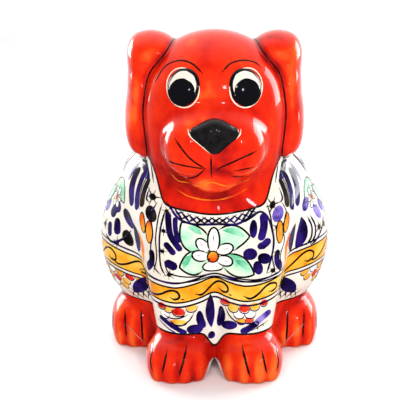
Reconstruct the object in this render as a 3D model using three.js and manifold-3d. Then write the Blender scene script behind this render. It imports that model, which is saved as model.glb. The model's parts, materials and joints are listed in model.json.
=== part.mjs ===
// A seated hound coin bank of slip-cast, glazed earthenware, in millimetres, +Z up.
//
// The hound looks along -Y and stands on Z = 0. It is put together as a potter does it: a hollow body, a hollow
// head on a tilted neck seam, and ears, eyes, nose, paws and tail of pressed clay stuck on with slip. A slab
// closes the open foot, and a rubber stopper in the slab lets the coins out.
import * as THREE from "three";
import { mergeVertices } from "three/addons/utils/BufferGeometryUtils.js";
import Module from "manifold-3d";

const wasm = await Module();
wasm.setup();

// ---- Driving dimensions ----

const BODY_WIDTH = 153; // across the haunches
const BODY_DEPTH = 124; // chest to rump
const BODY_HEIGHT = 118; // ground to the nape, without the neck
const HEAD_WIDTH = 93; // across the skull, without the ears
const HEAD_DEPTH = 88; // brow to the back of the skull, without the muzzle
const HEAD_HEIGHT = 110; // throat to crown
const MUZZLE_WIDTH = 58;
const MUZZLE_DEPTH = 48; // from its front back into the face
const MUZZLE_HEIGHT = 46; // without the chin
const MUZZLE_REACH = 15; // how far the muzzle stands out in front of the brow

const WALL = 5; // cast clay wall
const SLAB_THICKNESS = 6;
const SLAB_RECESS = 5; // from the ground up to the slab's underside
const CLAY_GAP = 0.3; // slip joint between two clay pieces
const BODY_FILLET = 14; // how softly the big masses of body and head run into each other
const LIMB_FILLET = 9;
const MUZZLE_FILLET = 8;

const NECK_TILT = THREE.MathUtils.degToRad(29); // the neck seam dips towards the chest by this much
const NECK_RADIUS = 38;
const SHOULDER_RADIUS = 25; // of the foreleg at its top
const WRIST_RADIUS = 18.5;

const SLOT_LENGTH = 40; // a 34 mm coin passes with room to spare
const SLOT_WIDTH = 6;
const SLOT_BELOW_NAPE = 16;

const STOPPER_HOLE_RADIUS = 18;
const STOPPER_CLEARANCE = 0.3; // the squeeze of the rubber is left out
const STOPPER_FLANGE_OVERLAP = 4.5;
const STOPPER_FLANGE_THICKNESS = 3;
const STOPPER_ABOVE_SLAB = 5; // how far the plug stands up inside the bank
const STOPPER_TAPER = 1.5; // less radius at the plug's top
const STOPPER_WALL = 3;
const STOPPER_GRIP_WIDTH = 4; // the bar across the dish that fingers pull

const EAR_LENGTH = 77;
const EAR_THICKNESS = 19;
const EAR_BREADTH = 50;
const EYE_WIDTH = 22;
const EYE_HEIGHT = 24;
const EYE_SPACING = 39;
const EYE_UP = 0.74; // how high the eyes sit, as a share of the head's height
const EYE_BULGE = 2.2; // how far the pressed eye stands out of the face
const EYE_DEPTH = 8; // from its front back into the face
const NOSE_WIDTH = 32;
const NOSE_DROP = 9; // from the top of the nose down to its tip, between their middles
const NOSE_TOP_RADIUS = 7;
const NOSE_CORNER_RADIUS = 5;
const NOSE_TIP_RADIUS = 3.5;
const FRONT_PAW_GAP = 4.6; // between the two front paws
const FRONT_PAW_WIDTH = 42;
const FRONT_PAW_LENGTH = 47;
const FRONT_PAW_HEIGHT = 27;
const HIND_PAW_WIDTH = 40;
const HIND_PAW_LENGTH = 54;
const HIND_PAW_HEIGHT = 35;
const HIND_PAW_INSET = 6; // from the side of the haunch in to the side of the paw
const PAW_ROUNDING = 0.38; // how high the middle of a paw's ball lies, as a share of the paw's height
const TAIL_LENGTH = 36;
const TAIL_RADIUS = 11;

// How many times each edge of the starting icosahedron is split, by how much of the figure a piece covers.
const FINE = 9;
const MEDIUM = 5;
const COARSE = 4;

// ---- Clay forms: signed distance functions of a point, negative inside ----

const vec = (x, y, z) => new THREE.Vector3(x, y, z);

// An ellipsoid of clay.
const ball = (centre, radii) => (p) => {
  const fromCentre = p.clone().sub(centre);
  const share = fromCentre.clone().divide(radii);
  const reach = share.length();
  const slope = share.divide(radii).length();
  return slope === 0 ? -radii.x : (reach * (reach - 1)) / slope;
};

// A roll of clay from one point to another, with a radius at each end.
const roll = (start, end, startRadius, endRadius) => {
  const along = end.clone().sub(start);
  return (p) => {
    const fromStart = p.clone().sub(start);
    const t = THREE.MathUtils.clamp(fromStart.dot(along) / along.lengthSq(), 0, 1);
    const radius = THREE.MathUtils.lerp(startRadius, endRadius, t);
    return fromStart.addScaledVector(along, -t).length() - radius;
  };
};

// Two forms smoothed into each other over a fillet of about this size.
const smear = (fillet, a, b) => (p) => {
  const da = a(p);
  const db = b(p);
  const near = Math.max(fillet - Math.abs(da - db), 0) / fillet;
  return Math.min(da, db) - (near * near * fillet) / 4;
};

const together = (fillet, ...forms) => forms.reduce((whole, form) => smear(fillet, whole, form));

// The form and its mirror image across the middle of the hound.
const onBothSides = (form) => (p) => form(vec(Math.abs(p.x), p.y, p.z));

// Points and sizes as shares of the boxes of the body, the head and the muzzle. Points in the body and the head
// are measured from the middle of the foot of the box, and in the muzzle from the middle of the box.
const bodyMiddleY = 5;
const inBody = (x, y, z) => vec(x * BODY_WIDTH, bodyMiddleY + y * BODY_DEPTH, z * BODY_HEIGHT);
const ofBody = (x, y, z) => vec(x * BODY_WIDTH, y * BODY_DEPTH, z * BODY_HEIGHT);
const headMiddleY = -7;
const headFoot = BODY_HEIGHT - 12;
const inHead = (x, y, z) => vec(x * HEAD_WIDTH, headMiddleY + y * HEAD_DEPTH, headFoot + z * HEAD_HEIGHT);
const ofHead = (x, y, z) => vec(x * HEAD_WIDTH, y * HEAD_DEPTH, z * HEAD_HEIGHT);

const muzzleFront = headMiddleY - HEAD_DEPTH / 2 - MUZZLE_REACH;
const muzzleMiddle = vec(0, muzzleFront + MUZZLE_DEPTH / 2, headFoot + 0.44 * HEAD_HEIGHT);
const ofMuzzle = (x, y, z) => vec(x * MUZZLE_WIDTH, y * MUZZLE_DEPTH, z * MUZZLE_HEIGHT);
const inMuzzle = (x, y, z) => ofMuzzle(x, y, z).add(muzzleMiddle);

const bodyCentre = inBody(0, 0, 0.58);
const headCentre = inHead(0, 0, 0.5);

const back = ball(inBody(0, 0.08, 0.62), ofBody(0.33, 0.37, 0.5));
const shoulders = onBothSides(ball(inBody(0.215, 0.03, 0.9), ofBody(0.2, 0.29, 0.29)));
const rump = ball(inBody(0, 0.09, 0.2), ofBody(0.36, 0.36, 0.44));
const haunches = onBothSides(ball(inBody(0.25, 0.12, 0.61), ofBody(0.25, 0.335, 0.435)));
const chest = ball(inBody(0, -0.09, 0.83), ofBody(0.345, 0.34, 0.34));
const foreleg = roll(inBody(0.165, -0.19, 0.82), inBody(0.113, -0.345, 0.17), SHOULDER_RADIUS, WRIST_RADIUS);
const forelegs = smear(LIMB_FILLET, foreleg, (p) => foreleg(vec(-p.x, p.y, p.z)));
const neck = roll(inBody(0, -0.06, 0.9), inHead(0, 0, 0.4), NECK_RADIUS + 2, NECK_RADIUS - 3);
const skull = ball(inHead(0, 0, 0.6), ofHead(0.5, 0.5, 0.4));
const cheeks = ball(inHead(0, -0.04, 0.4), ofHead(0.47, 0.46, 0.3));

const jowls = onBothSides(ball(inMuzzle(0.23, -0.08, -0.1), ofMuzzle(0.31, 0.4, 0.41)));
const chin = ball(inMuzzle(0, -0.1, -0.45), ofMuzzle(0.29, 0.31, 0.26));
const muzzle = together(MUZZLE_FILLET, ball(muzzleMiddle, ofMuzzle(0.5, 0.5, 0.5)), jowls, chin);

const masses = together(BODY_FILLET, back, rump, shoulders, chest, neck, skull, cheeks);
const trunk = together(LIMB_FILLET, masses, haunches, forelegs);
const hound = smear(MUZZLE_FILLET, trunk, muzzle);

// ---- From a form to a closed mesh, and from a mesh to a solid ----

const toSolid = (geometry) => {
  const bare = geometry.clone();
  bare.deleteAttribute("normal");
  bare.deleteAttribute("uv");
  const merged = mergeVertices(bare, 1e-4);
  const mesh = { numProp: 3, vertProperties: merged.attributes.position.array, triVerts: merged.index.array };
  mesh.triVerts = new Uint32Array(mesh.triVerts);
  return new wasm.Manifold(new wasm.Mesh(mesh));
};

const toGeometry = (solid) => {
  const mesh = solid.getMesh();
  const geometry = new THREE.BufferGeometry();
  geometry.setAttribute("position", new THREE.BufferAttribute(mesh.vertProperties, mesh.numProp));
  geometry.setIndex(new THREE.BufferAttribute(mesh.triVerts, 1));
  return geometry;
};

// How far along a ray from the centre the form's distance first passes the level.
const reachOf = (form, centre, direction, level) => {
  const at = (t) => form(centre.clone().addScaledVector(direction, t)) - level;
  let inside = 0;
  let outside = 1;
  while (at(outside) < 0) {
    inside = outside;
    outside += 1;
  }
  for (let i = 0; i < 24; i++) {
    const middle = (inside + outside) / 2;
    if (at(middle) < 0) inside = middle;
    else outside = middle;
  }
  return inside;
};

// The form's skin at a level: 0 is the surface, below 0 a hollow inside it, above 0 a slightly larger copy.
const cast = (form, centre, level, splits) => {
  const geometry = new THREE.IcosahedronGeometry(1, splits);
  const position = geometry.getAttribute("position");
  const direction = vec(0, 0, 0);
  for (let i = 0; i < position.count; i++) {
    direction.fromBufferAttribute(position, i).normalize();
    const tip = centre.clone().addScaledVector(direction, reachOf(form, centre, direction, level));
    position.setXYZ(i, tip.x, tip.y, tip.z);
  }
  return toSolid(geometry);
};

const box = (low, high) => {
  const size = high.clone().sub(low);
  const middle = low.clone().add(high).multiplyScalar(0.5);
  return toSolid(new THREE.BoxGeometry(size.x, size.y, size.z).translate(middle.x, middle.y, middle.z));
};

// Solids of revolution about Z, from [radius, height] points in order from the axis to the axis.
const turned = (profile, segments = 32) => {
  const points = profile.map(([radius, height]) => new THREE.Vector2(radius, height));
  return toSolid(new THREE.LatheGeometry(points, segments).rotateX(Math.PI / 2));
};

const FAR = 400;
const aboveGround = box(vec(-FAR, -FAR, 0), vec(FAR, FAR, FAR));

// All that lies above the neck seam, or below it with the slip joint left out.
const seamPoint = inBody(0, -0.44, 0.905);
const aboveSeam = (clearance) =>
  toSolid(
    new THREE.BoxGeometry(FAR, FAR, FAR)
      .translate(0, 0, FAR / 2 + clearance)
      .rotateX(NECK_TILT)
      .translate(seamPoint.x, seamPoint.y, seamPoint.z),
  );

// ---- The hollow body and head ----

const trunkSkin = cast(trunk, bodyCentre, 0, FINE);
const trunkGrown = cast(trunk, bodyCentre, CLAY_GAP, FINE);
const trunkHollow = cast(trunk, bodyCentre, -WALL, MEDIUM);
const headSkin = cast(hound, headCentre, 0, FINE);
const headGrown = cast(hound, headCentre, CLAY_GAP, FINE);
const headHollow = cast(hound, headCentre, -WALL, MEDIUM);

const slotCutter = () => {
  const outline = new THREE.Shape();
  const half = SLOT_WIDTH / 2;
  const straight = SLOT_LENGTH / 2 - half;
  outline.absarc(straight, 0, half, -Math.PI / 2, Math.PI / 2);
  outline.absarc(-straight, 0, half, Math.PI / 2, (3 * Math.PI) / 2);
  const reach = BODY_DEPTH;
  const cutter = new THREE.ExtrudeGeometry(outline, { depth: reach, bevelEnabled: false, curveSegments: 8 });
  const slotZ = BODY_HEIGHT - SLOT_BELOW_NAPE;
  return toSolid(cutter.rotateX(-Math.PI / 2).translate(0, bodyCentre.y, slotZ));
};

const torso = trunkSkin
  .subtract(aboveSeam(-CLAY_GAP))
  .intersect(aboveGround)
  .subtract(trunkHollow)
  .subtract(slotCutter());
const head = headSkin.intersect(aboveSeam(0)).subtract(headHollow);

// ---- The foot slab and its stopper ----

const slabTop = SLAB_RECESS + SLAB_THICKNESS;
const stopperCentre = inBody(0, 0.07, 0);
const slabLayer = box(vec(-FAR, -FAR, SLAB_RECESS), vec(FAR, FAR, slabTop));
const stopperHole = turned([
  [0, 0],
  [STOPPER_HOLE_RADIUS, 0],
  [STOPPER_HOLE_RADIUS, slabTop + 1],
  [0, slabTop + 1],
]).translate([0, stopperCentre.y, 0]);
const slab = cast(trunk, bodyCentre, -WALL - CLAY_GAP, MEDIUM).intersect(slabLayer).subtract(stopperHole);

const plugRadius = STOPPER_HOLE_RADIUS - STOPPER_CLEARANCE;
const flangeTop = SLAB_RECESS - STOPPER_CLEARANCE;
const flangeBottom = flangeTop - STOPPER_FLANGE_THICKNESS;
const plugTop = slabTop + STOPPER_ABOVE_SLAB;
const dishRadius = plugRadius - STOPPER_TAPER - STOPPER_WALL;
const dishTop = plugTop - STOPPER_WALL;
const plug = turned([
  [0, dishTop],
  [dishRadius, dishTop],
  [dishRadius, flangeBottom],
  [STOPPER_HOLE_RADIUS + STOPPER_FLANGE_OVERLAP, flangeBottom],
  [STOPPER_HOLE_RADIUS + STOPPER_FLANGE_OVERLAP, flangeTop],
  [plugRadius, flangeTop],
  [plugRadius, slabTop],
  [plugRadius - STOPPER_TAPER, plugTop],
  [0, plugTop],
]);
const gripBar = box(
  vec(-dishRadius - 1, -STOPPER_GRIP_WIDTH / 2, flangeBottom),
  vec(dishRadius + 1, STOPPER_GRIP_WIDTH / 2, flangeBottom + STOPPER_GRIP_WIDTH),
);
const stopper = plug.add(gripBar).translate([0, stopperCentre.y, 0]);

// ---- Pieces stuck on with slip, modelled on the hound's left, which is +X ----

// An ear hangs against the side of the head from a fold at the crown. It is broadest near its tip, where a lobe
// turns forward over the cheek.
const earX = HEAD_WIDTH / 2;
const earY = headMiddleY + 9;
const earTop = headFoot + HEAD_HEIGHT - 3;
const earMiddle = vec(earX, earY, earTop - EAR_LENGTH / 2);
const earFlap = vec(EAR_THICKNESS / 2, EAR_BREADTH / 2, EAR_LENGTH * 0.46);
const earFold = vec(EAR_THICKNESS * 0.79, EAR_BREADTH * 0.42, EAR_LENGTH * 0.155);
const earTip = vec(EAR_THICKNESS / 2, EAR_BREADTH * 0.42, EAR_LENGTH * 0.24);
const earLobe = vec(EAR_THICKNESS / 2, EAR_BREADTH * 0.26, EAR_LENGTH * 0.17);
const earForm = together(
  LIMB_FILLET,
  ball(earMiddle, earFlap),
  ball(vec(earX - EAR_THICKNESS * 0.42, earY - 3, earTop - earFold.z + 1), earFold),
  ball(vec(earX, earY, earTop - EAR_LENGTH + earTip.z), earTip),
  ball(vec(earX - EAR_THICKNESS * 0.2, earY - EAR_BREADTH * 0.3, earTop - EAR_LENGTH + earLobe.z), earLobe),
);

// An eye is a pressed ball whose front stands out of the face, square to the face where it sits.
const eyeRoot = vec(EYE_SPACING / 2, headMiddleY, headFoot + EYE_UP * HEAD_HEIGHT);
const forward = vec(0, -1, 0);
const eyeSeat = eyeRoot.clone().addScaledVector(forward, reachOf(hound, eyeRoot, forward, 0));
const slopeAlong = (axis) => hound(eyeSeat.clone().add(axis)) - hound(eyeSeat.clone().sub(axis));
const eyeAxis = vec(slopeAlong(vec(1, 0, 0)), slopeAlong(vec(0, 1, 0)), slopeAlong(vec(0, 0, 1))).normalize();
const eyeTurn = new THREE.Quaternion().setFromUnitVectors(eyeAxis, forward);
const eyeCentre = eyeSeat.clone().addScaledVector(eyeAxis, EYE_BULGE - EYE_DEPTH);
// The ball is larger than the eye that shows, because the face cuts it off in front of its widest part.
const eyeShowing = Math.sqrt(1 - (1 - EYE_BULGE / EYE_DEPTH) ** 2);
const eyeRadii = vec(EYE_WIDTH / 2, 0, EYE_HEIGHT / 2).divideScalar(eyeShowing).setY(EYE_DEPTH);
const flatEye = ball(vec(0, 0, 0), eyeRadii);
const eyeForm = (p) => flatEye(p.clone().sub(eyeCentre).applyQuaternion(eyeTurn));

// The nose is a rounded triangle, point down, on the upper front of the muzzle.
const noseTop = inMuzzle(0, -0.42, 0.2);
const noseCorner = noseTop.clone().add(vec(NOSE_WIDTH / 2 - NOSE_CORNER_RADIUS, 3, -2));
const noseTip = noseTop.clone().add(vec(0, -1, -NOSE_DROP));
const noseForm = together(
  LIMB_FILLET,
  onBothSides(roll(noseTop, noseCorner, NOSE_TOP_RADIUS, NOSE_CORNER_RADIUS)),
  roll(noseTop, noseTip, NOSE_TOP_RADIUS, NOSE_TIP_RADIUS),
);

const paw = (width, length, height, x, y) => {
  const centre = vec(x, y, height * PAW_ROUNDING);
  const form = ball(centre, vec(width / 2, length / 2, height * (1 - PAW_ROUNDING)));
  return cast(form, centre, 0, MEDIUM).intersect(aboveGround).subtract(trunkGrown);
};

const tailRoot = inBody(0, 0.4, 0.14);
const tailTip = tailRoot.clone().add(vec(0, TAIL_LENGTH * 0.5, TAIL_LENGTH * 0.86));
const tailForm = roll(tailRoot, tailTip, TAIL_RADIUS, TAIL_RADIUS * 0.6);
const tailMiddle = tailRoot.clone().lerp(tailTip, 0.5);

const mirrored = (solid) => solid.mirror([1, 0, 0]);
const ear = cast(earForm, earMiddle, 0, MEDIUM).subtract(headGrown).subtract(trunkGrown);
const eye = cast(eyeForm, eyeCentre, 0, COARSE).subtract(headGrown);
const nose = cast(noseForm, noseTop, 0, COARSE).subtract(headGrown);
const frontPawX = (FRONT_PAW_GAP + FRONT_PAW_WIDTH) / 2;
const frontPaw = paw(FRONT_PAW_WIDTH, FRONT_PAW_LENGTH, FRONT_PAW_HEIGHT, frontPawX, inBody(0, -0.41, 0).y);
const hindPawX = (BODY_WIDTH - HIND_PAW_WIDTH) / 2 - HIND_PAW_INSET;
const hindPaw = paw(HIND_PAW_WIDTH, HIND_PAW_LENGTH, HIND_PAW_HEIGHT, hindPawX, inBody(0, 0.08, 0).y);
const tail = cast(tailForm, tailMiddle, 0, COARSE).intersect(aboveGround).subtract(trunkGrown);

// ---- The scene graph ----

const glaze = (color) => new THREE.MeshStandardMaterial({ color, roughness: 0.12, metalness: 0 });
const RED_GLAZE = glaze(0xd8260a);
const PAINTED_GLAZE = glaze(0xf2ead8);
const BLACK_GLAZE = glaze(0x0c0b0e);
const BARE_CLAY = new THREE.MeshStandardMaterial({ color: 0xb86b45, roughness: 0.85, metalness: 0 });
const RUBBER = new THREE.MeshStandardMaterial({ color: 0x1b1b1d, roughness: 0.7, metalness: 0 });

const bank = new THREE.Group();

// The largest closed body of a cut solid: slivers past a neighbour's edge are trimmed away by the potter.
const largest = (solid) => solid.decompose().reduce((a, b) => (a.volume() > b.volume() ? a : b));

const place = (name, solid, material) => {
  const mesh = new THREE.Mesh(toGeometry(largest(solid)), material);
  mesh.name = name;
  bank.add(mesh);
};

place("torso", torso, PAINTED_GLAZE);
place("head", head, RED_GLAZE);
place("foot_slab", slab, BARE_CLAY);
place("rubber_stopper", stopper, RUBBER);
place("nose", nose, BLACK_GLAZE);
place("tail", tail, RED_GLAZE);

const pairs = { ear, eye, front_paw: frontPaw, hind_paw: hindPaw };
for (const [name, solid] of Object.entries(pairs)) {
  const material = name === "eye" ? BLACK_GLAZE : RED_GLAZE;
  place(`${name}_left`, solid, material);
  place(`${name}_right`, mirrored(solid), material);
}

// The origin is the middle of the whole figure's outline on the ground.
const extent = new THREE.Box3().setFromObject(bank);
bank.position.y = -(extent.min.y + extent.max.y) / 2;

export default bank;
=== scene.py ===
"""Looks of a seated hound coin bank of glazed, hand-painted earthenware, in metres, +Z up.

The hound looks along -Y and stands on Z = 0. Smooth forms describe its clay, in millimetres. One skin is
cast over them and parted into the potter's pieces, and the painter's strokes are laid on that skin as thin
raised enamel.
"""

import json
import logging
import math
from dataclasses import dataclass, field
from enum import Enum
from typing import Callable, Sequence

import bpy
import numpy as np
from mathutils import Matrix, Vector
from mathutils.bvhtree import BVHTree

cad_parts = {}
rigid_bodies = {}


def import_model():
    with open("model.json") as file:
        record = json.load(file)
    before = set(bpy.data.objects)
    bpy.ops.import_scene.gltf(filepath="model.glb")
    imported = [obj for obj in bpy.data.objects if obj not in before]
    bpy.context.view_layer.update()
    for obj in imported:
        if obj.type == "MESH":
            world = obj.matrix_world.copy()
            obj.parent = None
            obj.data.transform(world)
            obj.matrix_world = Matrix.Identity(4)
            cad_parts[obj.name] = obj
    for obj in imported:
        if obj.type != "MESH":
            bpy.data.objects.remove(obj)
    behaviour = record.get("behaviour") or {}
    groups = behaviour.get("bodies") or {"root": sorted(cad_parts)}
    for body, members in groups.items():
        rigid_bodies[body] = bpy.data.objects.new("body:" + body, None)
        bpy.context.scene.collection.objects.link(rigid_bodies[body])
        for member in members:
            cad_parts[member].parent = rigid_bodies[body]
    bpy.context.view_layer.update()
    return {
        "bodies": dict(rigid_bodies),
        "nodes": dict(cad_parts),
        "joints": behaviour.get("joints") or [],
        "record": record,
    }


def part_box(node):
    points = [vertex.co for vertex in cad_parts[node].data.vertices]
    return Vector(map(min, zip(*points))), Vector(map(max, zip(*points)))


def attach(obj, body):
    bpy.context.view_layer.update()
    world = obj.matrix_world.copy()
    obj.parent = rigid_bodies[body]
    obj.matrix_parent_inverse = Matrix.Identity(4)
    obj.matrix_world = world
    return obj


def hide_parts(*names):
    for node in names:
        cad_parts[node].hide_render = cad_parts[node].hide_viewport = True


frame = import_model()
log = logging.getLogger("hound_bank")

MM = 0.001
STOPPER_BACK = 0.07
Points = np.ndarray
Form = Callable[[Points], np.ndarray]
Place = Sequence[float]
Places = Sequence[Place]


# ---- Clay forms: each gives the distance of points from its skin, negative inside, in millimetres ----


@dataclass(frozen=True)
class Ball:
    """An ellipsoid of clay, or with more squareness than 2 a pebble with fuller corners."""

    centre: Place
    radii: Place
    squareness: float = 2.0

    def __call__(self, p: Points) -> np.ndarray:
        """Returns the distance of each point from the ball's skin."""
        n = self.squareness
        radii = np.asarray(self.radii, float)
        share = np.maximum(np.abs((p - np.asarray(self.centre)) / radii), 1e-9)
        reach = (share**n).sum(1) ** (1 / n)
        slope = reach ** (1 - n) * np.sqrt(((share ** (n - 1) / radii) ** 2).sum(1))
        return (reach - 1) / np.maximum(slope, 1e-6)


@dataclass(frozen=True)
class Roll:
    """A roll of clay from one point to another, with a radius at each end."""

    start: Place
    end: Place
    start_radius: float
    end_radius: float

    def __call__(self, p: Points) -> np.ndarray:
        """Returns the distance of each point from the roll's skin."""
        start = np.asarray(self.start, float)
        along = np.asarray(self.end, float) - start
        t = np.clip((p - start) @ along / (along @ along), 0, 1)
        radius = self.start_radius + (self.end_radius - self.start_radius) * t
        return np.linalg.norm(p - start - t[:, None] * along, axis=1) - radius


@dataclass(frozen=True)
class Smear:
    """Forms smoothed into each other over a fillet of about this size."""

    fillet: float
    forms: tuple[Form, ...]

    def __call__(self, p: Points) -> np.ndarray:
        """Returns the distance of each point from the skin of the forms together."""
        whole = self.forms[0](p)
        for form in self.forms[1:]:
            other = form(p)
            near = np.maximum(self.fillet - np.abs(whole - other), 0) / self.fillet
            whole = np.minimum(whole, other) - near * near * self.fillet / 4
        return whole


@dataclass(frozen=True)
class Cut:
    """A form with others cut away from it, over a rounded edge of about this size."""

    rounding: float
    form: Form
    away: tuple[Form, ...]

    def __call__(self, p: Points) -> np.ndarray:
        """Returns the distance of each point from the skin that is left."""
        return -Smear(self.rounding, (lambda q: -self.form(q), *self.away))(p)


@dataclass(frozen=True)
class BothSides:
    """A form and its mirror image across the middle of the hound."""

    form: Form

    def __call__(self, p: Points) -> np.ndarray:
        """Returns the distance of each point from the nearer of the two."""
        return self.form(np.column_stack([np.abs(p[:, 0]), p[:, 1:]]))


def together(fillet: float, *forms: Form) -> Smear:
    """Returns the forms smoothed into each other."""
    return Smear(fillet, forms)


def mirrored(form: Form) -> Form:
    """Returns the mirror image of a form across the middle of the hound."""
    return lambda p: form(p * np.array([-1.0, 1.0, 1.0]))


def rise_of(form: Form, p: Points, step: float = 0.05) -> tuple[np.ndarray, Points]:
    """Feels a form around some points.

    Args:
        form: the form to feel.
        p: the points.
        step: how far from each point it is felt.

    Returns:
        The form's distance at the points, and how fast it grows along each axis there.
    """
    here = form(p)
    return here, np.column_stack([(form(p + step * axis) - here) / step for axis in np.eye(3)])


def outward(form: Form, p: Points) -> Points:
    """Returns the unit outward direction of a form at each point."""
    rise = rise_of(form, p)[1]
    return rise / np.maximum(np.linalg.norm(rise, axis=1, keepdims=True), 1e-9)


def settle(form: Form, p: Points, level: float = 0.0, rounds: int = 3) -> Points:
    """Returns the points moved along the form's slope to where its distance is the level."""
    for _ in range(rounds):
        here, rise = rise_of(form, p)
        size = np.maximum((rise**2).sum(1), 0.1)
        p = p - ((here - level) / size)[:, None] * rise
    return p


# ---- Casting a skin over a form ----


@dataclass
class Skin:
    """A cast skin: points in millimetres, and the four-cornered faces between them."""

    points: Points
    faces: np.ndarray

    def kept(self, keep: np.ndarray) -> tuple["Skin", np.ndarray]:
        """Returns the skin of the faces that are kept, and which of the old points it holds."""
        faces = self.faces[keep]
        used, renamed = np.unique(faces, return_inverse=True)
        return Skin(self.points[used], renamed.reshape(faces.shape)), used

    def rim(self) -> np.ndarray:
        """Returns the edges that only one face has, as pairs of points in that face's order."""
        edges = np.stack([self.faces, np.roll(self.faces, -1, axis=1)], axis=2).reshape(-1, 2)
        low, high = edges.min(1), edges.max(1)
        _, first, count = np.unique(low * len(self.points) + high, return_index=True, return_counts=True)
        return edges[first[count == 1]]


class SkinCaster:
    """Casts a skin over a form: a net of four-cornered faces drawn tight on it."""

    def __init__(self, form: Form, low: Place, high: Place, step: float) -> None:
        """Keeps the form, the box to cast in and the net's mesh size."""
        self.form = form
        self.step = step
        self.low = np.asarray(low, float)
        self.counts = (np.ceil((np.asarray(high) - self.low) / step / 4).astype(int)) * 4 + 1

    def _felt(self) -> np.ndarray:
        """Returns the form's distance on the grid, felt closely only near the skin."""
        axes = [self.low[i] + self.step * np.arange(self.counts[i]) for i in range(3)]
        coarse_axes = [axis[::4] for axis in axes]
        grid = np.stack(np.meshgrid(*coarse_axes, indexing="ij"), axis=-1)
        coarse = self.form(grid.reshape(-1, 3)).reshape(grid.shape[:3])
        nearest = [np.minimum((np.arange(n) + 2) // 4, m - 1) for n, m in zip(self.counts, coarse.shape)]
        values = coarse[np.ix_(*nearest)]
        close = np.argwhere(np.abs(values) < 8 * self.step)
        for part in np.array_split(close, max(1, len(close) // 200000)):
            values[tuple(part.T)] = self.form(self.low + self.step * part)
        return values

    def cast(self, relax: int = 3) -> Skin:
        """Returns the skin, its points evened out over it.

        Args:
            relax: how many times the points are evened out.
        """
        values = self._felt()
        inside = values < 0
        corner_shifts = np.array([(i, j, k) for i in (0, 1) for j in (0, 1) for k in (0, 1)])
        counts = self.counts - 1
        held = sum(
            inside[i : i + counts[0], j : j + counts[1], k : k + counts[2]].astype(np.int8)
            for i, j, k in corner_shifts
        )
        cells = np.argwhere((held > 0) & (held < 8))
        at_corner = [values[tuple((cells + shift).T)] for shift in corner_shifts]
        total = np.zeros((len(cells), 3))
        crossings = np.zeros(len(cells))
        for a in range(8):
            for b in range(a + 1, 8):
                if np.abs(corner_shifts[a] - corner_shifts[b]).sum() != 1:
                    continue
                crossed = (at_corner[a] < 0) != (at_corner[b] < 0)
                span = np.where(crossed, at_corner[a] - at_corner[b], 1)
                t = np.where(crossed, at_corner[a] / span, 0)
                spot = corner_shifts[a] + t[:, None] * (corner_shifts[b] - corner_shifts[a])
                total += np.where(crossed[:, None], spot, 0)
                crossings += crossed
        points = self.low + self.step * (cells + total / crossings[:, None])
        number = np.full(counts, -1)
        number[tuple(cells.T)] = np.arange(len(cells))
        faces = np.concatenate([self._faces_across(inside, number, axis) for axis in range(3)])
        skin = Skin(settle(self.form, points), faces)
        for _ in range(relax):
            skin = self._evened(skin)
        return skin

    def _faces_across(self, inside: np.ndarray, number: np.ndarray, axis: int) -> np.ndarray:
        """Returns the faces around the grid's edges along one axis that cross the skin."""
        order = [axis, (axis + 1) % 3, (axis + 2) % 3]
        turned = inside.transpose(order)
        crossing = np.argwhere(turned[:-1, 1:-1, 1:-1] != turned[1:, 1:-1, 1:-1])
        names = number.transpose(order)
        a, b, c = crossing.T
        ring = np.stack(
            [names[a, b, c], names[a, b + 1, c], names[a, b + 1, c + 1], names[a, b, c + 1]], axis=1
        )
        leaving = turned[a, b + 1, c + 1]
        return np.where(leaving[:, None], ring, ring[:, ::-1])

    def _evened(self, skin: Skin) -> Skin:
        """Returns the skin with each point moved to the middle of its neighbours and back onto the form."""
        total = np.zeros_like(skin.points)
        count = np.zeros(len(skin.points))
        for i in range(4):
            ends = skin.faces[:, i]
            for other in (skin.faces[:, (i + 1) % 4], skin.faces[:, i - 1]):
                for axis in range(3):
                    total[:, axis] += np.bincount(ends, skin.points[other, axis], len(skin.points))
                count += np.bincount(ends, minlength=len(skin.points))
        middle = total / np.maximum(count, 1)[:, None]
        return Skin(settle(self.form, 0.5 * (skin.points + middle), rounds=1), skin.faces)


# ---- The hound's clay ----


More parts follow.
